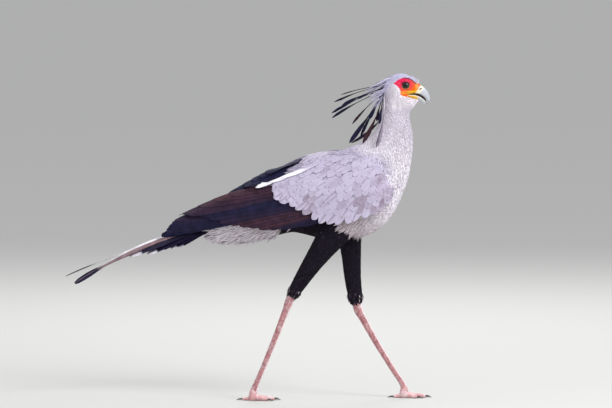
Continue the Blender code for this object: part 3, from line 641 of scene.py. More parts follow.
def shell(rings):
    """Points and triangles of a closed skin over the rings, with fans at both ends."""
    count, last = len(rings[0]), len(rings) - 1
    points = np.concatenate([*rings, [rings[0].mean(axis=0), rings[-1].mean(axis=0)]])
    around = np.arange(count)
    after = (around + 1) % count
    faces = []
    for row in range(last):
        here, there = row * count, (row + 1) * count
        faces.append(np.stack([here + around, here + after, there + after], axis=1))
        faces.append(np.stack([here + around, there + after, there + around], axis=1))
    middle = np.full(count, len(points) - 2)
    faces.append(np.stack([middle, after, around], axis=1))
    faces.append(np.stack([middle + 1, last * count + around, last * count + after], axis=1))
    faces = np.concatenate(faces)
    a, b, c = (points[faces[:, i]] for i in range(3))
    if np.einsum("ij,ij->", a, np.cross(b, c)) < 0:
        faces = faces[:, ::-1]
    return points, faces


def joined(shapes):
    points, faces, start = [], [], 0
    for these, those in shapes:
        points.append(these)
        faces.append(those + start)
        start += len(these)
    return np.concatenate(points), np.concatenate(faces)


def read(items, key, width=3, kind=float):
    """Values of all items of a mesh, as rows of this many."""
    values = np.empty(len(items) * width, kind)
    items.foreach_get(key, values)
    return values.reshape(-1, width)


def read_points(mesh):
    """Points of a mesh in table millimetres."""
    return read(mesh.vertices, "co") / MM + [MIDDLE_FORWARD, 0, 0]


def read_triangles(mesh):
    mesh.calc_loop_triangles()
    return read(mesh.loop_triangles, "vertices", 3, np.int32)


def put_object(name, data):
    made = bpy.data.objects.new(name, data)
    bpy.context.scene.collection.objects.link(made)
    return made


def new_mesh(name, points, faces):
    """A mesh from points in table millimetres and rows of corners."""
    mesh = bpy.data.meshes.new(name)
    placed = (np.asarray(points) - [MIDDLE_FORWARD, 0, 0]) * MM
    mesh.vertices.add(len(placed))
    mesh.vertices.foreach_set("co", placed.astype(np.float32).ravel())
    mesh.loops.add(faces.size)
    mesh.loops.foreach_set("vertex_index", faces.ravel().astype(np.int32))
    mesh.polygons.add(len(faces))
    mesh.polygons.foreach_set("loop_start", (np.arange(len(faces)) * faces.shape[1]).astype(np.int32))
    mesh.polygons.foreach_set("use_smooth", np.ones(len(faces), bool))
    mesh.update(calc_edges=True)
    return mesh


def paint(mesh, tint, barb=None):
    """Stores a colour for each point, and its place on the ribs of a vane."""
    colours = np.ones((len(mesh.vertices), 4), np.float32)
    colours[:, :3] = tint
    mesh.attributes.new("tint", "FLOAT_COLOR", "POINT").data.foreach_set("color", colours.ravel())
    if barb is not None:
        layer = mesh.attributes.new("barb", "FLOAT", "POINT")
        layer.data.foreach_set("value", np.asarray(barb, np.float32))


def make_piece(name, shape, looks, tint, barb=None, patch=None, stands_for=()):
    """A piece from points and faces. patch is the place of each point on the unwrap."""
    points, faces = shape
    mesh = new_mesh(name, points, faces)
    paint(mesh, tint, barb)
    if patch is not None:
        layer = mesh.uv_layers.new(name="OFBake")
        layer.data.foreach_set("uv", patch[faces.ravel()].astype(np.float32).ravel())
    mesh.materials.append(LOOKS[looks])
    made = put_object(name, mesh)
    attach(made, "root")
    if stands_for:
        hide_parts(*stands_for)
    return made


def look(name, roughness, blotch, bump, sheen=0.0, coat=0.0, barbs=0.0, specular=0.5):
    """A material that takes its colour from the tint of the points, mottled by noise.

    blotch is the size of the mottling in metres and its strength, and bump the grain's size,
    strength and depth. barbs is the depth of the fine ribs of a vane, in metres.
    """
    made = bpy.data.materials.new(name)
    made.use_nodes = True
    nodes, links = made.node_tree.nodes, made.node_tree.links

    def node(kind, **values):
        added = nodes.new("ShaderNode" + kind)
        for socket, value in values.items():
            added.inputs[socket.replace("_", " ").title()].default_value = value
        return added

    shader = nodes["Principled BSDF"]
    place, tint, product = node("TexCoord"), node("Attribute"), node("VectorMath")
    tint.attribute_name = "tint"
    product.operation = "MULTIPLY"
    blots = node("TexNoise", scale=1 / blotch[0], detail=5)
    spread = node("MapRange", from_min=0.3, from_max=0.7, to_min=1 - blotch[1], to_max=1 + blotch[1])
    grain = node("TexNoise", scale=1 / bump[0], detail=3)
    relief = node("Bump", strength=bump[1], distance=bump[2])
    links.new(place.outputs["Object"], blots.inputs["Vector"])
    links.new(place.outputs["Object"], grain.inputs["Vector"])
    links.new(blots.outputs["Fac"], spread.inputs["Value"])
    links.new(tint.outputs["Color"], product.inputs[0])
    links.new(spread.outputs["Result"], product.inputs[1])
    links.new(product.outputs["Vector"], shader.inputs["Base Color"])
    links.new(grain.outputs["Fac"], relief.inputs["Height"])
    last = relief
    if barbs:
        rib, wave = node("Attribute"), node("Math")
        rib.attribute_name = "barb"
        wave.operation = "SINE"
        last = node("Bump", strength=0.6, distance=barbs)
        links.new(rib.outputs["Fac"], wave.inputs[0])
        links.new(wave.outputs["Value"], last.inputs["Height"])
        links.new(relief.outputs["Normal"], last.inputs["Normal"])
    links.new(last.outputs["Normal"], shader.inputs["Normal"])
    shader.inputs["Roughness"].default_value = roughness
    shader.inputs["Specular IOR Level"].default_value = specular
    shader.inputs["Sheen Weight"].default_value = sheen
    shader.inputs["Coat Weight"].default_value = coat
    return made


LOOKS = {
    "plumage": look("plumage", 0.88, (0.012, 0.04), (0.0015, 0.2, 0.0002), sheen=0.1, specular=0.2),
    "covert": look(
        "covert", 0.8, (0.016, 0.06), (0.0015, 0.15, 0.0002), sheen=0.08, barbs=0.00008, specular=0.2
    ),
    "flight": look("flight", 0.62, (0.02, 0.3), (0.002, 0.15, 0.0002), barbs=0.0001, specular=0.1),
    "leg_black": look("leg_black", 0.9, (0.008, 0.3), (0.0015, 0.3, 0.0003), specular=0.12),
    "face": look("face", 0.55, (0.004, 0.12), (0.0009, 0.4, 0.0003), specular=0.2),
    "bill": look("bill", 0.34, (0.007, 0.07), (0.0012, 0.12, 0.0001), coat=0.1, specular=0.4),
    "eye": look("eye", 0.1, (0.002, 0.1), (0.001, 0.02, 0.00005), coat=0.25, specular=0.25),
    "scales": look("scales", 0.55, (0.006, 0.1), (0.0008, 0.3, 0.0001), specular=0.3),
    "claw": look("claw", 0.38, (0.004, 0.2), (0.001, 0.2, 0.0001), coat=0.1),
}


# The skin.


class WingSurface:
    """The base of a folded wing, with heights over it, from its rows."""

    def __init__(self, side):
        self.side = SIDES_OF[side]
        self.rows = smooth(WING_ROWS[side], 6)[::-1]
        self.plan = smooth(WING_ROWS["right"], 6)[::-1]
        self.core = smooth(WING_CORE, 4)[::-1]

    def column(self, rows, forward, index):
        return np.interp(forward, rows[:, 0], rows[:, index])

    def share_down(self, forward, up):
        top, bottom = self.column(self.plan, forward, 1), self.column(self.plan, forward, 5)
        return (top - up) / (top - bottom)

    def skin(self, forward, share):
        top, top_side, middle, wide, bottom = (self.column(self.rows, forward, i) for i in range(1, 6))
        up = top + (bottom - top) * share
        rise = np.clip((up - middle) / (top - middle), 0, None)
        fall = np.clip((middle - up) / (middle - bottom), 0, None)
        out = np.where(up >= middle, wide - (wide - top_side) * rise**ROOF_POWER, wide - UNDER_TUCK * fall**2)
        return np.stack([forward, out * self.side, up], axis=-1)

    def flesh(self, forward, up):
        low, top = self.column(self.core, forward, 1), self.column(self.plan, forward, 1)
        share = np.clip((up - low) / np.maximum(top - low, 5.0), 0, 1)
        front = np.clip((CORE_FRONT[0] - forward) / (CORE_FRONT[0] - CORE_FRONT[1]), 0, 1)
        height = CORE_EDGE + (CORE_TOP - CORE_EDGE) * share**2.5 + CORE_BULGE * np.sin(math.pi * share)
        return (CORE_FRONT_SHARE + (1 - CORE_FRONT_SHARE) * front) * height

    def low_top(self, forward, up):
        share = np.clip(self.share_down(forward, up) / TOP_LIFT_DEPTH, 0, 1)
        return TOP_LIFT + (1 - TOP_LIFT) * share

    def cover(self, forward, up):
        rear = np.clip((TERTIAL_START[0] - forward) / (TERTIAL_START[0] - TERTIAL_START[1]), 0, 1)
        return np.maximum(self.flesh(forward, up), TERTIAL_TOP * rear * self.low_top(forward, up))

    def at(self, forward, up, lift):
        """The points above the side-view places (forward, up), lift outside the base."""
        share = np.maximum(self.share_down(forward, up), -TOP_OVERHANG)
        step_f, step_s = 4.0, 0.03
        by_forward = self.skin(forward + step_f, share) - self.skin(forward - step_f, share)
        by_share = self.skin(forward, share + step_s) - self.skin(forward, share - step_s)
        normal = unit(np.cross(by_forward, by_share))
        normal *= np.sign(normal[..., 1:2] * self.side)
        return self.skin(forward, share) + normal * np.asarray(lift)[..., None]


WINGS = {side: WingSurface(side) for side in SIDES_OF}


def wing_core(surface):
    """The arm and its muscles as a closed shape."""
    places = np.array(WING_CORE, float)
    rings, last = [], len(places) - 1
    for index, (forward, low) in enumerate(places):
        share = np.linspace(0, 1, 12)
        up = surface.column(surface.plan, forward, 1) * (1 - share) + low * share
        ahead = np.full(12, forward)
        ends = math.sin(math.pi * min(1.0, 0.1 + 0.9 * index / last)) ** 0.5
        belly = np.sin(math.pi * (0.04 + 0.9 * share)) ** 0.7
        outer = surface.at(ahead, up, surface.flesh(ahead, up))
        inner = surface.at(ahead, up, -CORE_DEPTH * belly * ends)
        rings.append(np.concatenate([outer, inner[::-1]]))
    return shell(rings)


def node_shape(name):
    """Points and triangles of a solid, in table millimetres."""
    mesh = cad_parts[name].data
    return read_points(mesh), read_triangles(mesh)


def mesh_arrays(mesh):
    """Points in table millimetres, point normals and edges of a mesh."""
    return read_points(mesh), read(mesh.vertices, "normal"), read(mesh.edges, "vertices", 2, np.int32)


def put_points(mesh, points):
    placed = (points - [MIDDLE_FORWARD, 0, 0]) * MM
    mesh.vertices.foreach_set("co", placed.astype(np.float32).ravel())
    mesh.update()


def remeshed(shapes, voxel):
    """One closed mesh round all the shapes."""
    rough = put_object("rough", new_mesh("rough", *joined(shapes)))
    modifier = rough.modifiers.new("remesh", "REMESH")
    modifier.mode = "VOXEL"
    modifier.voxel_size = voxel * MM
    graph = bpy.context.evaluated_depsgraph_get()
    made = bpy.data.meshes.new_from_object(rough.evaluated_get(graph))
    bpy.data.objects.remove(rough)
    return made


def relaxed(points, edges, rounds, share=None):
    """The points drawn towards the mean of their neighbours."""
    share = np.ones(len(points)) if share is None else share
    count = np.bincount(edges.ravel(), minlength=len(points))
    for _ in range(rounds):
        total = np.stack(
            [
                np.bincount(edges[:, 0], points[edges[:, 1], i], len(points))
                + np.bincount(edges[:, 1], points[edges[:, 0], i], len(points))
                for i in range(3)
            ],
            axis=1,
        )
        points = points + (total / count[:, None] - points) * 0.5 * share[:, None]
    return points


SPINE_LINE = smooth(SPINE, 6)
SPINE_WAYS = unit(np.gradient(SPINE_LINE[:, :2], axis=0))
SPINE_SHARES = np.linspace(0, 1, len(SPINE_LINE))


def on_spine(points):
    """For points: share of the way from bill to tail, the way the feathers run, and the sizes."""
    far = ((points[:, None, [0, 2]] - SPINE_LINE[None, :, :2]) ** 2).sum(axis=2)
    weight = np.exp(-(far - far.min(axis=1, keepdims=True)) / (2 * SPINE_REACH**2))
    weight /= weight.sum(axis=1, keepdims=True)
    ways = weight @ SPINE_WAYS
    ways = np.stack([ways[:, 0], np.zeros(len(points)), ways[:, 1]], axis=1)
    return weight @ SPINE_SHARES, ways, weight @ SPINE_LINE[:, 2:]


def over_spine(points, share):
    """How far above the spine points are."""
    return points[:, 2] - np.interp(share, SPINE_SHARES, SPINE_LINE[:, 1])


LEG_LINES = {
    side: smooth([(f, SIDES_OF[side] * out, up) for f, out, up in line], 6) for side, line in LEG_LINE.items()
}


def on_leg(points):
    """For points: how much they belong to a leg, from 0 to 1, and the way down it."""
    part, ways = np.zeros(len(points)), np.zeros((len(points), 3))
    for line in LEG_LINES.values():
        far = np.linalg.norm(points[:, None] - line[None], axis=2)
        nearest = far.argmin(axis=1)
        reach = ease(62, 46, far.min(axis=1)) * ease(560, 470, points[:, 2])
        better = reach > part
        part = np.where(better, reach, part)
        ways[better] = unit(np.gradient(line, axis=0))[nearest[better]]
    return part, ways


def on_wing(points):
    """How much points belong to a folded wing's flesh, from 0 to 1."""
    part = np.zeros(len(points))
    for surface in WINGS.values():
        share = surface.share_down(points[:, 0], points[:, 2])
        base = surface.skin(points[:, 0], np.clip(share, 0, 1))
        out = (points[:, 1] - base[:, 1]) * surface.side
        low = surface.column(surface.core, points[:, 0], 1)
        part = np.maximum(
            part,
            ease(-8, 0, out)
            * ease(-0.12, 0.05, share)
            * ease(low - 12, low - 4, points[:, 2])
            * ease(40, 60, points[:, 0])
            * ease(434, 424, points[:, 0]),
        )
    return part


def covert_slope(forward, share):
    """Angle below the horizon at which the wing's small feathers point back, in degrees."""
    low, high = read_table(COVERT_SLOPE_LOW, forward), read_table(COVERT_SLOPE_HIGH, forward)
    return high + (low - high) * np.clip(share, 0, 1)


def lie(points, normals):
    """The way the small feathers point at these places of the skin."""
    _, ways, _ = on_spine(points)
    leg, leg_ways = on_leg(points)
    ways = mix(ways, leg_ways, leg)
    wing = on_wing(points)
    drop = ease(530, 500, points[:, 2]) * ease(120, 90, points[:, 0]) * ease(-90, -40, points[:, 0])
    ways = unit(ways - np.outer(0.5 * drop, [0, 0, 1]))
    slope = np.radians(covert_slope(points[:, 0], WINGS["right"].share_down(points[:, 0], points[:, 2])))
    wing_ways = np.stack([-np.cos(slope), np.zeros(len(points)), -np.sin(slope)], axis=1)
    ways = mix(ways, wing_ways, wing)
    return unit(ways - normals * (ways * normals).sum(axis=1, keepdims=True))


def face_part(points):
    """How far inside the bare face points lie, in millimetres, and negative outside it."""
    return -edge_distance(FACE_PATCH, points[:, 0], points[:, 2]) + 0.5 * (noise(points, 3.0) - 0.5)


def streaks(points):
    """Dark streaks along the feathers of the back and wings, from 0 to 1."""
    along_it = 0.82 * points[:, 0] + 0.57 * points[:, 2]
    across = 0.82 * points[:, 2] - 0.57 * points[:, 0]
    turned = np.stack([along_it / 3.4, points[:, 1], across], axis=1)
    return ease(0.5, 0.78, noise(turned, 8)) * ease(0.35, 0.65, noise(points, 30))


def plumage(points):
    """Colour of the plumage over these points of the skin."""
    share, _, _ = on_spine(points)
    wing, (leg, _) = on_wing(points), on_leg(points)
    above = over_spine(points, share)
    grey = ease(0.38, 0.48, share) * ease(5, 50, above)
    grey = np.maximum(np.clip(grey, 0, 1), wing)
    colour = mix(NECK_WHITE, WHITE, ease(0.34, 0.46, share))
    colour = mix(colour, GREY, grey)
    crown = ease(0.3, 0.16, share) * ease(4, 26, above)
    colour = mix(colour, PALE_GREY, crown)
    # Pale bluish grey over the nape: partly the nape's own grey, partly painted shade.
    nape = ease(0.14, 0.2, share) * ease(0.42, 0.3, share) * ease(10, 34, above)
    colour = mix(colour, PALE_GREY, 0.7 * nape)
    # Painted shade: the underside of the breast and belly is darkened towards the shaded white.
    under = ease(0.5, 0.62, share) * ease(10, -60, above) * (1 - wing)
    colour = mix(colour, SHADED_WHITE, under)
    colour = mix(colour, DARK_GREY, grey * (0.16 + 0.62 * streaks(points)))
    front = wing * ease(350, 400, points[:, 0]) * ease(650, 610, points[:, 2])
    colour = mix(colour, DARK_GREY, 0.6 * front * ease(0.3, 0.6, noise(points, 9)))
    shoulder = ease(62, 22, np.hypot((points[:, 0] - 382) / 1.2, points[:, 2] - 712))
    colour = mix(colour, GREY, 0.85 * shoulder)
    cheek = ease(422, 438, points[:, 0]) * ease(876, 892, points[:, 2]) * ease(962, 942, points[:, 2])
    colour = mix(colour, CHEEK_WHITE, 0.9 * cheek)
    fine = noise(points * [1, 1, 0.14], 5.0) - 0.5
    colour = colour * (1 - 0.24 * (1 - grey) * fine)[:, None]
    black = ease(4, -4, edge_distance(BLACK_ZONE, points[:, 0], points[:, 2]) + 16 * (noise(points, 9) - 0.5))
    black = np.maximum(black * (1 - wing), ease(474, 464, points[:, 2]) * ease(40, 60, points[:, 0]))
    return mix(colour, LEG_BLACK, black), black


def face_colour(points, bare):
    """Red, orange and yellow of the bare face, with a dark rim round the eye, a dark brow and painted shade
    in the socket round the eyeball.
    """
    forward, up = points[:, 0], points[:, 2]
    ripple = 0.25 * (noise(points, 5.0) - 0.5)
    to_orange = 0.75 * ease(480, 500, forward) + 0.55 * ease(944, 930, up) + ripple
    colour = mix(RED, ORANGE, np.clip(to_orange, 0, 1))
    to_yellow = ease(931, 926, up) * ease(470, 486, forward)
    to_yellow = to_yellow + 0.5 * ease(932, 927, up) + ease(498, 508, forward)
    colour = mix(colour, YELLOW, np.clip(to_yellow + ripple, 0, 1))
    chin = mix(ORANGE, YELLOW, ease(478, 494, forward))
    colour = mix(colour, chin, ease(920, 918, up))
    brow = ease(5.5, 2.8, bare) * ease(456, 476, forward) * ease(946, 953, up)
    colour = mix(colour, BROW_DARK, 0.9 * brow)
    far = np.hypot((forward - EYE[0]) / 1.08, (up - EYE[1]) / 0.92)
    colour = mix(colour, EYE_RIM, ease(12.1, 11.3, far) * ease(EYE[1] + 3, EYE[1] - 4, up))
    colour = mix(colour, LID_DARK, 0.9 * ease(13.0, 11.6, far) * ease(EYE[1] + 1, EYE[1] + 5, up))
    # Painted shade in the socket round the eyeball.
    return mix(colour, SOCKET_SHADE, ease(10.8, 9.9, far))


def face_relief(points):
    """Height of the lids, brow, gape and wrinkles over the plain head, in millimetres."""
    forward, up = points[:, 0], points[:, 2]
    across, high = forward - EYE[0], up - EYE[1]
    far = np.hypot(across / 1.08, high / 0.92)
    height = -6.5 * ease(9.9, 8.2, far)
    height += 2.0 * np.exp(-(((far - 10.8) / 1.2) ** 2))
    height += 0.7 * np.exp(-(((far - 13.6) / 0.8) ** 2))
    height -= 0.5 * np.exp(-(((far - 15.4) / 0.8) ** 2))
    arch = EYE[1] + 15 - (across / 24) ** 2 * 5
    height += 2.6 * np.exp(-(((up - arch) / 2.6) ** 2)) * ease(24, 16, abs(across - 2))
    height += 0.7 * np.exp(-(((up - 924.6) / 2.6) ** 2)) * ease(458, 464, forward)
    height -= 0.6 * np.exp(-(((up - 929.3) / 0.8) ** 2)) * ease(460, 468, forward)
    folds = np.sin(up / 1.5 + forward / 7 + 2 * noise(points, 8))
    height += 0.16 * folds * ease(14, 17, far)
    return height + 0.35 * (noise(points, 1.6) - 0.5)


def build_skin():
    """One closed skin inside the solids of flesh, with the bare face worked out in detail."""
    nodes = ["torso", "neck", "thigh_right", "thigh_left", "shin_right", "shin_left"]
    head = [
        shell(body_rings(SKULL, 5, 56)),
        shell(body_rings(CHIN, 5, 40)),
        shell(body_rings(JAW, 5, 40, 4.0)),
    ]
    shapes = [node_shape(name) for name in nodes] + head
    shapes += [shell(body_rings(TAIL_STUMP, 3, 28))] + [wing_core(surface) for surface in WINGS.values()]
    mesh = remeshed(shapes, SKIN_VOXEL)
    points, _, edges = mesh_arrays(mesh)
    put_points(mesh, relaxed(points, edges, 6, ease(890, 860, points[:, 2])))
    points, _, _ = mesh_arrays(mesh)
    near_face = (points[:, 0] > FINE_HEAD[0] + 4) & (points[:, 2] > FINE_HEAD[1] + 3)
    work = bmesh.new()
    work.from_mesh(mesh)
    work.verts.ensure_lookup_table()
    chosen = [edge for edge in work.edges if all(near_face[corner.index] for corner in edge.verts)]
    bmesh.ops.subdivide_edges(work, edges=chosen, cuts=4, use_grid_fill=True)
    bmesh.ops.triangulate(work, faces=[face for face in work.faces if len(face.verts) > 4])
    work.to_mesh(mesh)
    work.free()
    points, _, edges = mesh_arrays(mesh)
    true_head = BVHTree.FromPolygons(*(part.tolist() for part in joined(head)))
    fine = (points[:, 0] > FINE_HEAD[0]) & (points[:, 2] > FINE_HEAD[1])
    for index in np.flatnonzero(fine):
        found = true_head.find_nearest(points[index].tolist())
        if found[3] < 3.0:
            points[index] = found[0]
    points = relaxed(points, edges, 5, fine.astype(float))
    put_points(mesh, points)
    points, normals, _ = mesh_arrays(mesh)
    bare = face_part(points)
    _, _, sizes = on_spine(points)
    leg, _ = on_leg(points)
    depth = sizes[:, 3]
    depth = depth + (LEG_DEPTH - depth) * leg
    depth = depth + (WING_DEPTH - depth) * on_wing(points)
    sides = abs(points[:, 1]) > CROWN_HALF
    depth = depth + (FACE_DEPTH - depth) * ease(-3, 1, bare) * sides
    height = face_relief(points) * ease(-1, 2, bare) * sides
    put_points(mesh, points + normals * (height - depth)[:, None])
    points, normals, _ = mesh_arrays(mesh)
    tint, _ = plumage(points)
    tint = mix(tint, face_colour(points, bare), ease(-0.6, 0.6, bare) * sides)
    paint(mesh, tint)
    mesh.polygons.foreach_set("use_smooth", np.ones(len(mesh.polygons), bool))
    mesh.materials.clear()
    mesh.materials.append(LOOKS["face"])
    mesh.name = "skin"
    skin = put_object("skin", mesh)
    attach(skin, "root")
    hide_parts(*nodes, "head")
    return skin


# Small feathers over the skin.


class Coat:
    """The skin as the ground that the small feathers stand on."""

    def __init__(self, skin):
        mesh = skin.data
        self.points, self.normals, _ = mesh_arrays(mesh)
        self.faces = read_triangles(mesh)
        a, b, c = (self.points[self.faces[:, i]] for i in range(3))
        self.areas = np.linalg.norm(np.cross(b - a, c - a), axis=1) / 2
        self.middles = (a + b + c) / 3
        self.tree = BVHTree.FromPolygons(self.points.tolist(), self.faces.tolist())
        self.face_normals = unit(self.normals[self.faces].mean(axis=1))

    def scatter(self, zone, spacing):
        """Places about this far apart on the skin's triangles in the zone: points and normals."""
        areas = np.where(zone, self.areas, 0)
        count = int(areas.sum() / spacing**2 * 3.0)
        chosen = rng.choice(len(areas), count, p=areas / areas.sum())
        share = rng.random((count, 2))
        over = share.sum(axis=1) > 1
        share[over] = 1 - share[over]
        weights = np.column_stack([1 - share.sum(axis=1), share])
        points = np.einsum("ij,ijk->ik", weights, self.points[self.faces[chosen]])
        normals = unit(np.einsum("ij,ijk->ik", weights, self.normals[self.faces[chosen]]))
        cells = np.floor(points / spacing).astype(int)
        _, first = np.unique(cells, axis=0, return_index=True)
        first.sort()
        return points[first], normals[first]

    def paths(self, points, normals, ways, lengths, shares):
        """Lines over the skin from each place, with the skin's normals along them."""
        lines, ups = [points], [normals]
        for before, after in zip(shares, shares[1:]):
            aim = lines[-1] + ways * (lengths * (after - before))[:, None]
            there, up = aim.copy(), ups[-1].copy()
            for index, place in enumerate(aim.tolist()):
                spot, _, face, gap = self.tree.find_nearest(place)
                if gap < SKIN_REACH:
                    there[index] = spot
                    up[index] = self.face_normals[face]
            up = unit(up * 0.6 + ups[-1] * 0.4)
            ways = unit(ways - up * (ways * up).sum(axis=1, keepdims=True))
            lines.append(there)
            ups.append(up)
        return np.stack(lines, axis=1), np.stack(ups, axis=1)


def unwrap(points):
    """Where each root lies on an unwrap of the body's own form: share along it and turn round it."""
    share, _, _ = on_spine(points)
    turn = np.arctan2(points[:, 1], over_spine(points, share)) / (2 * math.pi) + 0.5
    body = np.stack([0.01 + 0.78 * share, 0.01 + 0.97 * turn], axis=1)
    leg = on_leg(points)[0] > 0.5
    down = np.clip((560 - points[:, 2]) / 300, 0, 1)
    limb = np.stack([0.81 + 0.17 * (points[:, 1] > 0) * 0.5 + 0.08 * turn, 0.01 + 0.97 * down], axis=1)
    return np.where(leg[:, None], limb, body)


def grow_tufts(name, coat, zone, spacing, adjust, looks="plumage", slot="plumage_white"):
    """Small pointed feathers over a zone of the skin, as one piece.

    adjust(points, sizes) returns which to keep, lengths, widths, lifts, tints and how far each strays.
    """
    points, normals = coat.scatter(zone, spacing)
    _, _, sizes = on_spine(points)
    keep, lengths, widths, lifts, tints, stray = adjust(points, sizes)
    points, normals = points[keep], normals[keep]
    lengths, widths, lifts, tints, stray = (value[keep] for value in (lengths, widths, lifts, tints, stray))
    ways = lie(points, normals)
    across = np.cross(normals, ways)
    turn = np.radians(stray) * rng.standard_normal(len(points))
    ways = unit(ways * np.cos(turn)[:, None] + across * np.sin(turn)[:, None])
    lengths = lengths * rng.uniform(0.8, 1.2, len(points))
    lifts = lifts * rng.uniform(0.6, 1.4, len(points))
    lines, ups = coat.paths(points, normals, ways, lengths, TUFT_SHARES)
    steps = np.gradient(lines, axis=1)
    sides = unit(np.cross(ups, steps))
    shares = np.array(TUFT_SHARES)
    heights = -TUFT_SINK + (lifts[:, None] + TUFT_SINK) * shares**1.3
    middles = lines + ups * heights[..., None]
    half = (widths[:, None] * TUFT_WIDTHS / 2)[..., None]
    rings = np.stack(
        [
            middles + sides * half,
            middles + ups * half * TUFT_RIDGE,
            middles - sides * half,
            middles - ups * half * TUFT_KEEL,
        ],
        axis=2,
    )
    count, rows = len(points), len(shares)
    first = (np.arange(count) * rows * 4)[:, None]
    faces = []
    for row in range(rows - 1):
        for corner in range(4):
            after = (corner + 1) % 4
            here, there = row * 4, (row + 1) * 4
            faces.append(first + [here + corner, here + after, there + after, there + corner])
    faces.append(first + [3, 2, 1, 0])
    faces.append(first + np.arange(4) + (rows - 1) * 4)
    local = np.stack(np.meshgrid(shares, [0, 0.5, 1, 0.5], indexing="ij"), axis=-1).reshape(-1, 2) - 0.5
    patch = unwrap(points)[:, None] + local * PATCH
    shape = rings.reshape(-1, 3), np.concatenate(faces)
    tints = np.repeat(tints, rows * 4, axis=0)
    made = make_piece(name, shape, looks, tints, patch=patch.reshape(-1, 2))
    print(name, count, "tufts", len(made.data.polygons) * 2, "triangles")
    return made


# Larger feathers as vanes.


class Vanes:
    """Closed thin vanes gathered into one piece."""

    def __init__(self):
        self.points, self.faces, self.tints, self.barbs, self.locals, self.start = [], [], [], [], [], 0

    def add(self, outer, inner, tint, barb):
        """outer and inner are grids of points, rows from root to tip and columns across."""
        rows, wide = outer.shape[:2]
        index = np.arange(2 * rows * wide).reshape(2, rows, wide) + self.start
        top, low = index
        grids = [
            (top[:-1, :-1], top[1:, :-1], top[1:, 1:], top[:-1, 1:]),
            (low[:-1, :-1], low[:-1, 1:], low[1:, 1:], low[1:, :-1]),
            (top[:-1, -1], top[1:, -1], low[1:, -1], low[:-1, -1]),
            (low[:-1, 0], low[1:, 0], top[1:, 0], top[:-1, 0]),
            (top[0, :-1], top[0, 1:], low[0, 1:], low[0, :-1]),
            (low[-1, :-1], low[-1, 1:], top[-1, 1:], top[-1, :-1]),
        ]
        faces = np.concatenate([np.stack([part.ravel() for part in grid], axis=1) for grid in grids])
        middle, centre = rows // 2, wide // 2
        here = outer[middle, centre]
        facing = np.cross(outer[middle + 1, centre] - here, outer[middle, centre + 1] - here)
        if facing @ (here - inner[middle, centre]) < 0:
            faces = faces[:, ::-1]
        self.points += [outer.reshape(-1, 3), inner.reshape(-1, 3)]
        self.faces.append(faces)
        self.tints += [tint.reshape(-1, 3)] * 2
        self.barbs += [barb.ravel()] * 2
        local = np.meshgrid(np.linspace(0, 1, rows), np.linspace(0, 1, wide), indexing="ij")
        self.locals += [np.stack(local, axis=-1).reshape(-1, 2)] * 2
        self.start += 2 * rows * wide

    def patches(self):
        """Each vane in a cell of its own."""
        cells = math.ceil(math.sqrt(len(self.faces)))
        found = []
        for index, local in enumerate(self.locals):
            corner = np.array([index // 2 % cells, index // 2 // cells])
            found.append((corner + 0.06 + 0.88 * local) / cells)
        return np.concatenate(found)

    def piece(self, name, looks, stands_for=()):
        points, faces, tints, barbs = map(np.concatenate, (self.points, self.faces, self.tints, self.barbs))
        made = make_piece(name, (points, faces), looks, tints, barbs, self.patches(), stands_for)
        print(name, len(self.faces), "vanes", len(made.data.polygons) * 2, "triangles")
        return made


def vane_widths(outline, shares, ragged, least=0.0):
    """Half widths on both sides of the shaft as shares, with a few notches."""
    base = np.maximum(read_table(OUTLINES[outline], shares), least)
    both = np.stack([base, base], axis=1)
    both *= 1 + ragged * rng.standard_normal(both.shape)
    for side in (0, 1):
        for notch in rng.integers(len(shares) // 4, len(shares) - 1, 2):
            both[notch, side] *= 1 - 5 * ragged * rng.random()
    return both


def vane_tint(shares, colours):
    """Colours of a vane's grid: middle, shaft, lower edge, upper edge and tip."""
    across = np.repeat(ACROSS[None], len(shares), axis=0)
    at = np.repeat(shares[:, None], len(ACROSS), axis=1)
    rim = colours.get("rim", 0.7)
    colour = mix(colours["middle"], colours.get("upper", colours["middle"]), ease(-rim, -rim - 0.25, across))
    colour = mix(colour, colours.get("lower", colours["middle"]), ease(0.7, 0.95, across))
    if "tip" in colours:
        colour = mix(colour, colours["tip"], ease(*colours.get("tip_from", (0.88, 0.97)), at))
    if "base" in colours:
        colour = mix(colour, colours["base"], ease(0.5, 0.2, at))
    return mix(colour, colours.get("shaft", colours["middle"]), ease(0.2, 0.04, abs(across)) * 0.8)


def barb_phase(shares, length, width):
    steps = shares[:, None] * length + abs(ACROSS[None]) * width * 0.4
    return steps * 2 * math.pi / BARB_PITCH


def wing_vane(
    vanes, surface, root, tip, width, bend, lift_at, outline, rows, colours, ragged=0.02, thick=0.35
):
    """A vane that follows the wing. lift_at(shares, across, places) gives its height over the base."""
    root, tip = np.array(root, float), np.array(tip, float)
    way = tip - root
    length = np.linalg.norm(way)
    down = np.array([way[1], -way[0]]) / length
    down = -down if down[1] > 0 else down
    shares = 1 - (1 - np.linspace(0, 1, rows)) ** 1.15
    both = vane_widths(outline, shares, ragged)
    half = np.where(ACROSS[None] < 0, both[:, :1], both[:, 1:]) * width / 2
    middle = root + np.outer(shares, way) + np.outer(4 * shares * (1 - shares), down * bend)
    places = middle[:, None] + down * (half * ACROSS)[..., None]
    shaft = 0.35 * (1 - 0.7 * shares)[:, None] * (abs(ACROSS) < 0.04)
    droop = -0.05 * half * ACROSS**2
    lift = lift_at(shares[:, None], ACROSS[None], places) + shaft + droop
    outer = surface.at(places[..., 0], places[..., 1], lift)
    inner = surface.at(places[..., 0], places[..., 1], lift - thick - shaft)
    vanes.add(outer, inner, vane_tint(shares, colours), barb_phase(shares, length, width))


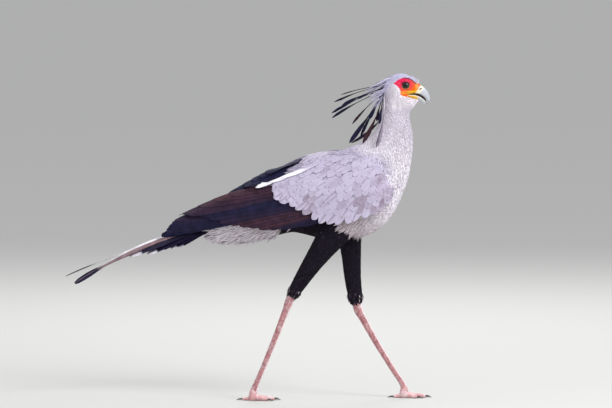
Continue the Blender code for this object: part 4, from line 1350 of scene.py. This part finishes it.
def free_vane(
    vanes, root, tip, side_way, width, thick, outline, bend, rows, colours, turns=None, ragged=0.02
):
    """A vane in space from root to tip, its width along side_way, bowed by bend.

    turns gives degrees of twist at shares of the length.
    """
    root, tip, bend = (np.array(v, float) for v in (root, tip, bend))
    length = np.linalg.norm(tip - root)
    way = (tip - root) / length
    side = np.array(side_way, float)
    side = unit(side - way * (side @ way))
    up = np.cross(way, side)
    shares = np.linspace(0, 1, rows)
    least = PLUME_SHAFT / width if outline == "plume" else 0.0
    both = vane_widths(outline, shares, ragged, least)
    half = np.where(ACROSS[None] < 0, both[:, :1], both[:, 1:]) * width / 2
    middle = root + np.outer(shares, tip - root) + np.outer(4 * shares * (1 - shares), bend)
    turn = np.radians(read_table(turns or [(0, 0), (1, 0)], shares))
    across = side * np.cos(turn)[:, None] + up * np.sin(turn)[:, None]
    over = up * np.cos(turn)[:, None] - side * np.sin(turn)[:, None]
    shaft = 0.35 * (1 - 0.7 * shares)[:, None] * (abs(ACROSS) < 0.04)
    thin = (thick[0] + (thick[1] - thick[0]) * shares)[:, None] * (1 - 0.6 * abs(ACROSS))
    droop = -0.12 * half * ACROSS**2
    base = middle[:, None] + across[:, None] * (half * ACROSS)[..., None]
    outer = base + over[:, None] * (droop + thin / 2 + shaft)[..., None]
    inner = base + over[:, None] * (droop - thin / 2 - shaft)[..., None]
    vanes.add(outer, inner, vane_tint(shares, colours), barb_phase(shares, length, width))


def black_colours(brown, edge=0.6):
    # Mixes the black with painted bluish sheen and the brown black; the lower edge gets more of the painted
    # sheen.
    middle = mix(BLUE_SHEEN_BLACK, BROWN_BLACK, brown)
    return {
        "middle": middle,
        "upper": mix(middle, BROWN_EDGE, edge * rng.uniform(0.2, 1.0) * (0.3 + 0.7 * brown)),
        "lower": mix(middle, BLUE_SHEEN_BLACK, 0.5),
        "shaft": middle * 1.5,
    }


def build_flight(side):
    surface = WINGS[side]
    vanes = Vanes()
    for name, row in FLIGHT_ROWS.items():
        for index in range(row["count"]):
            share = index / (row["count"] - 1)
            root, tip = along(row["roots"], share), along(row["tips"], share)
            tip = tip + rng.uniform(-2, 2, 2)
            base = row["lift"] + row["step"] * index

            def lift_at(shares, across, places):
                lift = (base + 0.8 * across) * surface.low_top(places[..., 0], places[..., 1])
                return np.where(shares < 0.02, -2.0, lift)

            brown = read_table(row["brown"], share) + rng.uniform(-0.1, 0.1)
            width = row["width"][0] + (row["width"][1] - row["width"][0]) * share
            colours = black_colours(np.clip(brown, 0, 1))
            wing_vane(vanes, surface, root, tip, width, row["bend"], lift_at, "flight", 34, colours)
    vanes.piece(f"wing_{side}_flight", "flight")


def build_coverts(side):
    """Grey coverts in rows like tiles, the lowest row first."""
    surface = WINGS[side]
    vanes = Vanes()
    for depth, count, length, width in COVERT_ROWS:
        loose = 0.3 if depth < 1 else 0.15
        for index in range(count):
            share = (index + 0.5 + rng.uniform(-loose, loose)) / count
            down = depth + rng.uniform(-0.04, 0.04) * (depth < 1)
            tip = mix(along(COVERT_HIGH, share), along(COVERT_LOW, share), down)
            slope = math.radians(covert_slope(tip[0], depth) + rng.uniform(-6, 6))
            way = np.array([-math.cos(slope), -math.sin(slope)])
            root = tip - way * length * rng.uniform(0.9, 1.1)

            def lift_at(shares, across, places):
                lift = surface.cover(places[..., 0], places[..., 1])
                return lift - 0.9 + 1.6 * shares**1.2 + 0.15 * across

            place = np.array([[tip[0], SIDES_OF[side] * 60, tip[1]]])
            dark = 0.10 + 0.08 * rng.uniform(-1, 1) + 0.75 * float(streaks(place)[0])
            front = float(ease(320, 385, tip[0]) * ease(0.35, 0.7, depth))
            middle = mix(GREY, DARK_GREY, np.clip(dark + 0.75 * front * rng.random(), 0, 1))
            edge = mix(middle, mix(GREY, WHITE, 0.3), 0.3)
            stroke = 0.8 if rng.random() < 0.2 else 0.15
            colours = {
                "middle": middle,
                "upper": edge,
                "lower": mix(middle, edge, 0.5),
                "tip": edge,
                "tip_from": (0.75, 1.0),
                "shaft": mix(middle, DARK_GREY, stroke),
            }
            wide = width * rng.uniform(0.88, 1.12)
            wing_vane(vanes, surface, root, tip, wide, -2, lift_at, "covert", 12, colours, 0.03, 0.25)
    for root, tip, width in WHITE_STREAKS:

        def lift_at(shares, across, places):
            return surface.cover(places[..., 0], places[..., 1]) + 2.4 + 1.6 * shares + 0.2 * across

        pale = {"middle": BRIGHT_WHITE, "base": GREY}
        wing_vane(vanes, surface, root, tip, width, 0, lift_at, "slim", 16, pale, 0.03)
    vanes.piece(f"wing_{side}_coverts", "covert", [f"wing_{side}"])


def build_mantle():
    """Grey feathers over the back, from one wing's upper edge to the other's."""
    vanes = Vanes()
    first, last, count = MANTLE_ROWS
    near, far = WINGS["right"], WINGS["left"]

    def roof(forward, share):
        """The place over the back at this share of the way from the right wing to the left."""
        right = near.skin(forward, np.zeros_like(forward))
        left = far.skin(forward, np.zeros_like(forward))
        place = right + (left - right) * share * MANTLE_OVER_FAR
        place[..., 2] += MANTLE_ARCH * 4 * share * (1 - share) + 2.0 * share
        return place

    for row in range(count):
        ahead = first + (last - first) * row / (count - 1)
        for column in range(MANTLE_WIDE):
            share = (column + 0.5 + rng.uniform(-0.3, 0.3)) / MANTLE_WIDE
            length = MANTLE_FEATHER[0] * rng.uniform(0.85, 1.15)
            tip_at = np.array(ahead + rng.uniform(-7, 7))
            tip = roof(tip_at, share) + [0, 0, 2.2]
            root = roof(tip_at + length, share * 0.9 + 0.05) - [0, 0, 2.0]
            dark = 0.18 + 0.10 * rng.uniform(-1, 1) + 0.75 * float(streaks(tip[None])[0])
            middle = mix(GREY, DARK_GREY, np.clip(dark, 0, 1))
            edge = mix(middle, mix(GREY, WHITE, 0.5), 0.6)
            colours = {"middle": middle, "upper": edge, "lower": edge, "tip": edge, "tip_from": (0.8, 1.0)}
            slope = roof(tip_at, share + 0.05) - roof(tip_at, share - 0.05)
            width = MANTLE_FEATHER[1] * rng.uniform(0.85, 1.15)
            bow = (0, 0, 1.5)
            free_vane(vanes, root, tip, slope, width, (0.5, 0.3), "covert", bow, 12, colours, ragged=0.03)
    vanes.piece("mantle", "covert")


def build_back_tertials():
    """Black feathers that cross the rump: those of the left wing, then those down to the right wing."""
    vanes = Vanes()
    twist = [(0, 0), (0.5, BACK_TWIST_DEG / 4), (1, BACK_TWIST_DEG)]
    for rows, rise, turns in ((BACK_TERTIALS, BACK_RISE, twist), (BACK_LOW_TERTIALS, -BACK_LOW_FALL, None)):
        for root, tip, width, bow in rows:
            side, bend, colours = (0, -1, rise), (0, 0, bow), black_colours(0.0, 0.1)
            free_vane(vanes, root, tip, side, width, (0.9, 0.5), "flight", bend, 30, colours, turns, 0.0)
    vanes.piece("back_tertials", "flight")


def build_tail():
    vanes = Vanes()
    lean = math.radians(TAIL_LEAN_DEG)
    for name, rows in TAIL_FEATHERS.items():
        side = SIDES_OF[name]
        for index, (forward, up, width, bow) in enumerate(rows):
            out = side * (width / 2 * math.cos(lean) + 0.4)
            root = (TAIL_ROOT[0], out, TAIL_ROOT[1] - TAIL_STEP_DOWN * index)
            if index == 0:
                colours = {
                    "middle": TAIL_BROWN,
                    "upper": mix(TAIL_BROWN, BRIGHT_WHITE, 0.9),
                    "rim": 0.15,
                    "lower": mix(TAIL_BROWN, BLUE_SHEEN_BLACK, 0.5),
                    "tip": BLUE_SHEEN_BLACK,
                    "tip_from": (0.79, 0.84),
                    "shaft": mix(TAIL_BROWN, BLUE_SHEEN_BLACK, 0.3),
                }
            else:
                colours = {**black_colours(0.1, 0.2), "tip": WHITE, "tip_from": (0.84, 0.87)}
            turns = [(share, side * turn) for share, turn in TAIL_TURN[name]] if index == 0 else None
            across, bend = (0, side * math.cos(lean), -math.sin(lean)), (0, 0, bow)
            tip = (forward, out, up)
            free_vane(vanes, root, tip, across, width, (1.0, 0.5), "tail", bend, 44, colours, turns)
    vanes.piece("tail_feathers", "flight", ["tail"])


def build_crest():
    vanes = Vanes()
    for root, tip, width, bow, brown in CREST_PLUMES:
        inward = -math.copysign(1, tip[1])
        across = (0.25, 0.55 * inward, 0.8) if tip[2] > CREST_LOW_TIP else (1.0, 0.35 * inward, 0.1)
        colours = {place: tone * PLUME_TONE for place, tone in black_colours(max(brown, 0), 0.25).items()}
        if brown < 0:
            dark = colours["middle"]
            colours = {"shaft": dark, "upper": dark, "lower": dark, "rim": 0.45, "base": WHITE}
            colours["middle"] = mix(GREY, DARK_GREY, 0.8)
        free_vane(vanes, root, tip, across, width, (1.4, 0.5), "plume", bow, 30, colours, ragged=0.04)
    vanes.piece("crest_plumes", "flight")


def build_nape():
    """Loose pale feathers that stand off the nape over the roots of the crest."""
    vanes = Vanes()
    back, front, low, high = NAPE_ROOTS
    for _ in range(NAPE_COUNT):
        height, out = rng.random(), rng.uniform(-1, 1)
        aside = 22 * out * (1 - 0.5 * height)
        root = np.array([back + (front - back) * height, aside, low + (high - low) * height])
        far, near = np.array(NAPE_TIPS[0]), np.array(NAPE_TIPS[1])
        end = near + (far - near) * height
        reach = rng.uniform(0.3, 1.0) ** 1.6
        aim = np.array([end[0], root[1] * 1.3, end[1]])
        tip = root + (aim - root) * reach + rng.normal(0, 1, 3) * [0, 2.5, 3.5 * (1 - reach) + 1]
        tone = mix(mix(WHITE, PALE_GREY, rng.uniform(0.5, 1)), DARK_GREY, 0.3 * rng.random())
        across = (0.1, 0.8 * math.copysign(1, -out), 0.6)
        bow = (0, 0, 3 * (1 - 0.4 * reach) * height + 1)
        width = rng.uniform(2.2, 4.4)
        free_vane(vanes, root, tip, across, width, (0.7, 0.3), "wisp", bow, 8, {"middle": tone}, ragged=0.05)
    vanes.piece("nape_wisps", "plumage")


def bristle(root, tip, bow, thick, steps=6):
    """A closed thin spike from root to tip."""
    shares = np.linspace(0, 1, steps)
    line = np.array(root) + np.outer(shares, np.array(tip) - root) + np.outer(shares**2, bow)
    way = unit(np.array(tip) - root)
    first = unit(np.cross(way, [0.3, 1.0, 0.2]))
    second = np.cross(way, first)
    half = thick / 2 * (1 - 0.85 * shares)
    return shell([oval(place, first * size, second * size, 5) for place, size in zip(line, half)])


def build_bristles():
    """Stiff lashes on the upper lids, and the small upright tuft over the root of the bill."""
    lashes, tuft = [], []
    for sign in SIDES_OF.values():
        for angle in np.radians(np.linspace(22, 160, 17)):
            root = np.array([EYE[0] + 10.8 * math.cos(angle), sign * 29.8, EYE[1] + 9.6 * math.sin(angle)])
            way = unit(np.array([0.55 * math.cos(angle) - 0.25, sign * 0.95, 0.45 + 0.25 * math.sin(angle)]))
            lashes.append(bristle(root, root + way * rng.uniform(7.5, 10.5), (-0.6, 0, 1.4), 0.7))
    for _ in range(FOREHEAD_COUNT):
        ahead, out = rng.uniform(490, 511), rng.uniform(-1, 1)
        top = read_table(FOREHEAD_TOP, ahead)
        root = np.array([ahead, 9 * out, top - 2.5 * out**2])
        lean = rng.uniform(-0.1, 0.75)
        way = unit(np.array([lean, 0.5 * out, 1.0]))
        length = rng.uniform(5, 9) + 7 * ease(494, 508, ahead) * rng.random()
        tuft.append(bristle(root, root + way * length, (-1.5, 0, 0), 1.3))
    for name, shapes, slot, looks, colour in (
        ("eyelashes", lashes, "flight_black", "claw", LASH_BLACK),
        ("forehead_tuft", tuft, "plumage_white", "plumage", mix(WHITE, PALE_GREY, 0.6)),
    ):
        make_piece(name, joined(shapes), looks, colour)


# Bill, eyes, legs and feet.


def bill_ring(top, edge, half, sides, hollow):
    """A ring that is round over the ridge and has sharp cutting edges, with a hollow between them."""
    top, edge = np.array([top[0], 0, top[1]]), np.array([edge[0], 0, edge[1]])
    turn = np.linspace(0, math.pi / 2, sides)
    high = np.cos(turn) ** 1.1
    wide = np.sin(turn) ** 0.8
    wide *= 1 - 0.12 * ease(0.25, 0.0, high)
    right = edge + np.outer(high, top - edge) + np.outer(wide, [0, -half, 0])
    left = right[::-1] * [1, -1, 1]
    inner = np.linspace(0.8, -0.8, 7)
    dome = hollow * (1 - (inner / 0.8) ** 2) * 0.9 + 0.02
    palate = edge + np.outer(dome, top - edge) + np.outer(inner, [0, half * 0.98, 0])
    return np.concatenate([right, palate[::-1], left[:-1]])


def from_nostril(points, grow=(1.0, 1.0)):
    """How far points are from the middle of the nostril, as a share of its size."""
    slope = math.radians(NOSTRIL_SLOPE_DEG)
    across, high = points[:, 0] - NOSTRIL[0], points[:, 2] - NOSTRIL[1]
    long = (across * math.cos(slope) + high * math.sin(slope)) / (NOSTRIL_HALF[0] * grow[0])
    tall = (high * math.cos(slope) - across * math.sin(slope)) / (NOSTRIL_HALF[1] * grow[1])
    return np.hypot(long, tall)


def bill_tint(points, inside, lower):
    forward, up = points[:, 0], points[:, 2]
    if lower:
        colour = mix(ORANGE, YELLOW, ease(472, 486, forward))
        colour = mix(colour, HORN, ease(504, 514, forward))
        top = read_table(LOWER_BILL_TOP, forward)
        colour = mix(colour, LIP_PALE, 0.8 * ease(2.6, 1.3, top - up) * ease(476, 490, forward))
    else:
        colour = mix(CERE, HORN, ease(516, 526, forward + 0.6 * (930 - up)))
        past = forward - (505 + 0.7 * (up - 928))
        skin = mix(YELLOW, ORANGE, ease(926, 934, up))
        colour = mix(colour, skin, ease(1.5, -0.5, past) * ease(519, 516, forward))
        # Painted shade in the hollow of the nostril.
        colour = mix(colour, NOSTRIL_SHADE, ease(1.25, 0.7, from_nostril(points, (1.15, 1.3))))
    colour = mix(colour, HORN_TIP, 0.7 * ease(903, 890, up) * ease(528, 536, forward))
    # The inside of the bill takes the painted shade of the mouth.
    return mix(colour, MOUTH_SHADE, inside)


def build_bill():
    for name, rows, lower in (("upper", BILL_UPPER, False), ("lower", BILL_LOWER, True)):
        stations = smooth(rows, 8)
        sides = 15
        rings, insides = [], []
        for top_f, top_u, edge_f, edge_u, half in stations:
            top, edge = ((edge_f, edge_u), (top_f, top_u)) if lower else ((top_f, top_u), (edge_f, edge_u))
            hollow = 0.25 if half > 2 else 0.0
            rings.append(bill_ring(top, edge, half, sides, hollow))
            inside = np.zeros(len(rings[-1]))
            inside[sides + 1 : sides + 6] = 1.0
            insides.append(inside)
        points, faces = shell(rings)
        inside = np.concatenate([*insides, [1.0, 1.0]])
        tint = bill_tint(points, inside, lower)
        if not lower:
            dent = 2.2 * ease(1.3, 0.6, from_nostril(points))
            points[:, 1] -= np.sign(points[:, 1]) * dent * (abs(points[:, 1]) > 3)
        stands_for = [f"bill_{name}"]
        make_piece(f"bill_{name}_horn", (points, faces), "bill", tint, stands_for=stands_for)
    # The tongue is a dark filler painted as the shade inside the mouth.
    make_piece("tongue", shell(body_rings(TONGUE, 5, 24)), "scales", MOUTH_SHADE)


def build_eyes():
    for side, sign in SIDES_OF.items():
        turn = np.linspace(0, 2 * math.pi, 40, endpoint=False)
        rings = []
        for angle in np.linspace(0.02, math.pi - 0.02, 26):
            radius, out = EYE_HALF[0] * math.sin(angle), EYE_HALF[1] * math.cos(angle)
            aside = np.full(len(turn), sign * (EYE_SIDE + out))
            ring = EYE[0] + radius * np.cos(turn), aside, EYE[1] + radius * np.sin(turn)
            rings.append(np.stack(ring, axis=1))
        points, faces = shell(rings)
        ahead, high = points[:, 0] - EYE[0], points[:, 2] - EYE[1]
        far = np.hypot(ahead, high)
        front = (points[:, 1] * sign) > EYE_SIDE
        iris = mix(IRIS_OUTER, IRIS_INNER, ease(PUPIL_RADIUS + 3.2, PUPIL_RADIUS + 0.8, far))
        rays = 0.6 + 0.8 * noise(np.stack([np.arctan2(high, ahead) * 6, far * 0.2, far * 0], axis=1), 1.0)
        tint = mix(iris * rays[:, None], PUPIL_DARK, ease(PUPIL_RADIUS + 0.6, PUPIL_RADIUS - 0.3, far))
        tint = mix(tint, IRIS_RIM, ease(IRIS_RADIUS - 0.4, IRIS_RADIUS + 0.4, far))
        tint = np.where(front[:, None], tint, EYE_BACK)
        make_piece(f"eyeball_{side}", (points, faces), "eye", tint, stands_for=[f"eye_{side}"])


def hex_cells(across, along_it):
    """Distance from each place to the groove of its six-sided cell; places are in cell widths."""
    best = np.full((2, len(across)), 9.0)
    row = np.round(along_it / 0.866)
    for down in (-1, 0, 1):
        this = row + down
        shift = 0.5 * (this % 2)
        column = np.round(across - shift)
        for side in (-1, 0, 1):
            far = np.hypot(across - shift - column - side, along_it - this * 0.866)
            best = np.sort(np.vstack([best, far]), axis=0)[:2]
    return (best[1] - best[0]) / 2


def build_tarsi():
    for side, rows in TARSUS.items():
        sign = SIDES_OF[side]
        stations = [(f, sign * out, up, deep, wide) for f, out, up, deep, wide in rows]
        around, steps = 84, 44
        rings = limb_rings(stations, steps, around)
        middles = np.array([ring.mean(axis=0) for ring in rings])
        walked = np.concatenate([[0], np.cumsum(np.linalg.norm(np.diff(middles, axis=0), axis=1))])
        points, faces = shell(rings)
        count = len(rings) * around
        turn = np.tile(np.arange(around) / around, len(rings))
        down = np.repeat(walked, around)
        front = (points[:count] - np.repeat(middles, around, axis=0))[:, 0]
        facing = np.cos(2 * math.pi * turn) * np.sign(front[0] if abs(front[0]) > 1e-6 else 1)
        net = hex_cells(turn * SCALES_ROUND, down / SCALE_SIZE + 0.2 * noise(points[:count], 6))
        band = abs((down / SCUTE_SIZE + 0.10 * facing + 0.1 * noise(points[:count], 9)) % 1 - 0.5)
        plates = ease(0.66, 0.8, facing)
        groove_net, groove_band = ease(0.26, 0.10, net), ease(0.40, 0.47, band)
        groove = groove_net * (1 - plates) + groove_band * plates
        height = 0.38 * (1 - groove) - 0.1
        outward = unit(points[:count] - np.repeat(middles, around, axis=0))
        points[:count] += outward * height[:, None]
        mottle = noise(points[:count], 12)
        tint = mix(PINK, PINK_PALE, np.clip(plates * 0.9 + 0.7 * ease(0.4, 0.65, mottle), 0, 1))
        tint = mix(tint, PINK_GROOVE, groove * (0.95 - 0.35 * plates))
        tint = mix(tint, PINK_GROOVE, 0.6 * ease(0.52, 0.72, noise(points[:count], 5)) * (1 - plates))
        tint = np.vstack([tint, [PINK, PINK]])
        shape, stands_for = (points, faces), [f"tarsus_{side}"]
        make_piece(f"tarsus_{side}_scales", shape, "scales", tint, stands_for=stands_for)


def toe_frame(side, name):
    heading = math.radians(TOES[name][0] * -SIDES_OF[side])
    forward, out = TARSUS[side][-1][:2]
    middle = np.array([forward, SIDES_OF[side] * out, 0])
    way = np.array([math.cos(heading), math.sin(heading), 0])
    return middle, way, np.array([-way[1], way[0], 0])


def toe_rings(side, name, profile, start, scale, stretch, sides, steps):
    middle, way, across = toe_frame(side, name)
    rings = []
    for distance, height, high, wide in smooth(profile, steps):
        at = middle + way * (start + distance * stretch) + np.array([0, 0, height * scale])
        rings.append(oval(at, np.array([0, 0, high * scale]), across * wide * scale, sides))
    return rings


def build_feet():
    for side in SIDES_OF:
        forward, out = TARSUS[side][-1][:2]
        hub = [(forward + f, SIDES_OF[side] * out, up, deep, wide) for f, up, deep, wide in FOOT_HUB]
        shapes = [shell(limb_rings(hub, 4, 28))]
        for name, (_, length, girth) in TOES.items():
            shapes.append(shell(toe_rings(side, name, TOE_PROFILE, 0.0, girth, length, 24, 5)))
        mesh = remeshed(shapes, FOOT_VOXEL)
        points, _, edges = mesh_arrays(mesh)
        put_points(mesh, relaxed(points, edges, 3))
        points, normals, edges = mesh_arrays(mesh)
        best = np.full(len(points), 1e9)
        distance, offset = np.zeros(len(points)), np.zeros(len(points))
        for name, (_, length, _) in TOES.items():
            middle, way, across = toe_frame(side, name)
            reach = (points - middle) @ way
            aside = (points - middle) @ across
            far = abs(aside) + np.maximum(6 - reach, 0) * 2 + np.maximum(reach - length, 0)
            closer = far < best
            best = np.where(closer, far, best)
            distance, offset = np.where(closer, reach, distance), np.where(closer, aside, offset)
        over = ease(0.25, 0.6, normals[:, 2])
        band = abs((distance / TOE_BAND + 0.004 * offset**2) % 1 - 0.5)
        net = hex_cells(offset / TOE_SCALE + points[:, 2] / TOE_SCALE, distance / TOE_SCALE)
        groove = ease(0.41, 0.49, band) * over + ease(0.14, 0.03, net) * (1 - over)
        points = points + normals * (0.42 * (1 - groove) - 0.35)[:, None]
        points[:, 2] = np.maximum(points[:, 2], 0.0)
        tint = mix(PINK, PINK_PALE, 0.7 * ease(0.4, 0.7, noise(points, 9)))
        tint = mix(tint, PINK_GROOVE, 0.75 * groove)
        tint = mix(tint, SOLE, 0.5 * ease(2.5, 0.5, points[:, 2]))
        faces = read(mesh.loops, "vertex_index", 1, np.int32).reshape(-1, 4)
        shape, stands_for = (points, faces), [f"foot_{side}"]
        make_piece(f"foot_{side}_scales", shape, "scales", tint, stands_for=stands_for)
        claws = []
        for name, (_, length, girth) in TOES.items():
            claws.append(shell(toe_rings(side, name, CLAW_PROFILE, length, girth, 1.0, 20, 6)))
        points, faces = joined(claws)
        points[:, 2] = np.maximum(points[:, 2], 0.2)
        tint = mix(CLAW, np.array(CLAW) * 2.2, noise(points, 2.5))
        stands_for = [f"claw_{side}_{name}" for name in TOES]
        make_piece(f"claws_{side}", (points, faces), "claw", tint, stands_for=stands_for)


# The coat.


def body_adjust(black_wanted):
    """Sizes and tints of the feathers on the black parts or on the others."""

    def adjust(points, sizes):
        tint, black = plumage(points)
        tint = tint * (1 + 0.035 * rng.standard_normal(len(points)))[:, None]
        bare = face_part(points)
        keep = (bare < 0.4) | (abs(points[:, 1]) < 7)
        keep &= (rng.random(len(points)) < black) == black_wanted
        lengths, widths, lifts = sizes[:, 0], sizes[:, 1], sizes[:, 2]
        keep &= on_wing(points) < 0.5
        rough = ease(432, 408, points[:, 0]) * ease(884, 905, points[:, 2])
        lengths, lifts = lengths * (1 + 0.9 * rough), lifts * (1 + 1.6 * rough)
        if black_wanted:
            leg, _ = on_leg(points)
            plain = np.stack([lengths, widths, lifts], axis=1) * 0.6
            lengths, widths, lifts = mix(plain, LEG_FEATHER, np.maximum(leg, 0.3)).T
            speck = rng.random(len(points)) < 0.06 * ease(0.4, 0.7, noise(points, 14))
            tint = mix(tint, LEG_SPECK, speck * rng.random(len(points)))
        stray = 7 + 9 * ease(0.55, 0.7, on_spine(points)[0])
        return keep, lengths, widths, lifts, np.clip(tint, 0, 1), stray

    return adjust


def vent_adjust(points, sizes):
    """Loose white fluff under the root of the tail."""
    ones = np.ones(len(points))
    # Tints run at random from the painted-shade white to plain white, so they are partly painted shade.
    tint = mix(SHADED_WHITE, WHITE, 0.35 + 0.6 * rng.random(len(points)))
    return plumage(points)[1] < 0.3, 42 * ones, 5.5 * ones, 3 + 9 * rng.random(len(points)), tint, 15 * ones


def cuff_adjust(points, sizes):
    """Longer, looser feathers where the plumage of the legs ends."""
    ones = np.ones(len(points))
    loose = np.where(points[:, 1] > 0, 7.0, 4.0)
    tint = mix(np.tile(LEG_BLACK, (len(points), 1)), LEG_SPECK, rng.random(len(points)) ** 4)
    pale = rng.random(len(points)) < 0.06
    tint = np.where(pale[:, None], mix(PINK_PALE, LEG_SPECK, 0.4), tint)
    return ones > 0, 17 * ones, 4.2 * ones, loose, tint, 14 * ones


def wing_adjust(points, sizes):
    tint, _ = plumage(points)
    tint = tint * (1 + 0.05 * rng.standard_normal(len(points)))[:, None]
    ones = np.ones(len(points))
    keep = (on_wing(points) > 0.35) & (points[:, 0] > 60)
    return keep, 19 * ones, 8 * ones, 2.2 * ones, np.clip(tint, 0, 1), 9 * ones


def build_coat(skin):
    coat = Coat(skin)
    share, _, _ = on_spine(coat.middles)
    _, black = plumage(coat.middles)
    wing = on_wing(coat.middles)
    pale = black < 0.97
    off_wing = pale & (wing < 0.6)
    grow_tufts("head_feathers", coat, (share < HEAD_END) & pale, SPACING["head"], body_adjust(False))
    neck = (share >= HEAD_END) & (share < NECK_END)
    grow_tufts("neck_feathers", coat, neck & pale, SPACING["neck"], body_adjust(False))
    front = (share >= NECK_END) & (share < BREAST_END) & off_wing
    grow_tufts("breast_feathers", coat, front, SPACING["breast"], body_adjust(False))
    rear = (share >= BREAST_END) & off_wing
    black_slot = ("leg_black", "leg_black")
    for side, sign in SIDES_OF.items():
        half = coat.middles[:, 1] * sign > 0
        dark = (black > 0.02) & half
        grow_tufts(f"body_{side}_feathers", coat, rear & half, SPACING["body"], body_adjust(False))
        grow_tufts(f"leg_{side}_feathers", coat, dark, SPACING["leg"], body_adjust(True), *black_slot)
    low = (coat.middles[:, 2] < 515) & (coat.middles[:, 0] < 115) & (coat.middles[:, 0] > -110) & pale
    grow_tufts("vent_fluff", coat, low, SPACING["vent"], vent_adjust)
    to_ends = [np.linalg.norm(coat.middles - line[-1], axis=1) for line in LEG_LINES.values()]
    grow_tufts("leg_cuffs", coat, np.min(to_ends, axis=0) < 40, SPACING["leg"], cuff_adjust, *black_slot)
    for side, sign in SIDES_OF.items():
        zone = (wing > 0.3) & (coat.middles[:, 1] * sign > 0)
        grow_tufts(f"wing_{side}_small", coat, zone, SPACING["wing"], wing_adjust, slot="plumage_grey")


def build_stage():
    scene = bpy.context.scene
    floor_mesh = bpy.data.meshes.new("floor")
    turns = ((-1, -1), (1, -1), (1, 1), (-1, 1))
    corners = [(FLOOR_HALF * ahead, FLOOR_HALF * left, 0) for ahead, left in turns]
    floor_mesh.from_pydata(corners, [], [(0, 1, 2, 3)])
    floor = put_object("floor", floor_mesh)
    floor.location.z = FLOOR_DROP
    pale = bpy.data.materials.new("floor")
    pale.use_nodes = True
    shader = pale.node_tree.nodes["Principled BSDF"]
    shader.inputs["Base Color"].default_value = FLOOR_PALE
    shader.inputs["Roughness"].default_value = 0.9
    floor_mesh.materials.append(pale)
    world = bpy.data.worlds.new("studio")
    scene.world = world
    world.use_nodes = True
    world.node_tree.nodes["Background"].inputs["Color"].default_value = SKY_PALE
    world.node_tree.nodes["Background"].inputs["Strength"].default_value = SKY_STRENGTH
    target = Vector(LIGHT_TARGET)
    for name, (place, size, power) in LIGHTS.items():
        light = bpy.data.lights.new(name, "AREA")
        light.size = size
        light.energy = power
        lamp = put_object(name, light)
        lamp.location = place
        lamp.rotation_euler = (target - Vector(place)).to_track_quat("-Z", "Y").to_euler()
    camera = bpy.data.cameras.new("camera")
    middle = [(PHOTO_SIZE[0] / 2 - PHOTO_ZERO[0]) * PIXEL, (PHOTO_ZERO[1] - PHOTO_SIZE[1] / 2) * PIXEL]
    camera.sensor_width = SENSOR
    camera.lens = SENSOR * CAMERA_DISTANCE / (PHOTO_SIZE[0] * PIXEL * MM)
    camera.clip_end = 200
    eye = put_object("camera", camera)
    rise = math.radians(CAMERA_RISE_DEG)
    centre = Vector(((middle[0] - MIDDLE_FORWARD) * MM, 0, middle[1] * MM))
    back = Vector((0, -math.cos(rise), math.sin(rise)))
    eye.location = centre + back * CAMERA_DISTANCE
    eye.rotation_euler = (-back).to_track_quat("-Z", "Y").to_euler()
    scene.camera = eye
    scene.view_settings.view_transform = "Standard"


build_stage()
skin = build_skin()
build_coat(skin)
for side in SIDES_OF:
    build_flight(side)
    build_coverts(side)
build_mantle()
build_back_tertials()
build_tail()
build_crest()
build_nape()
build_bill()
build_eyes()
build_bristles()
build_tarsi()
build_feet()
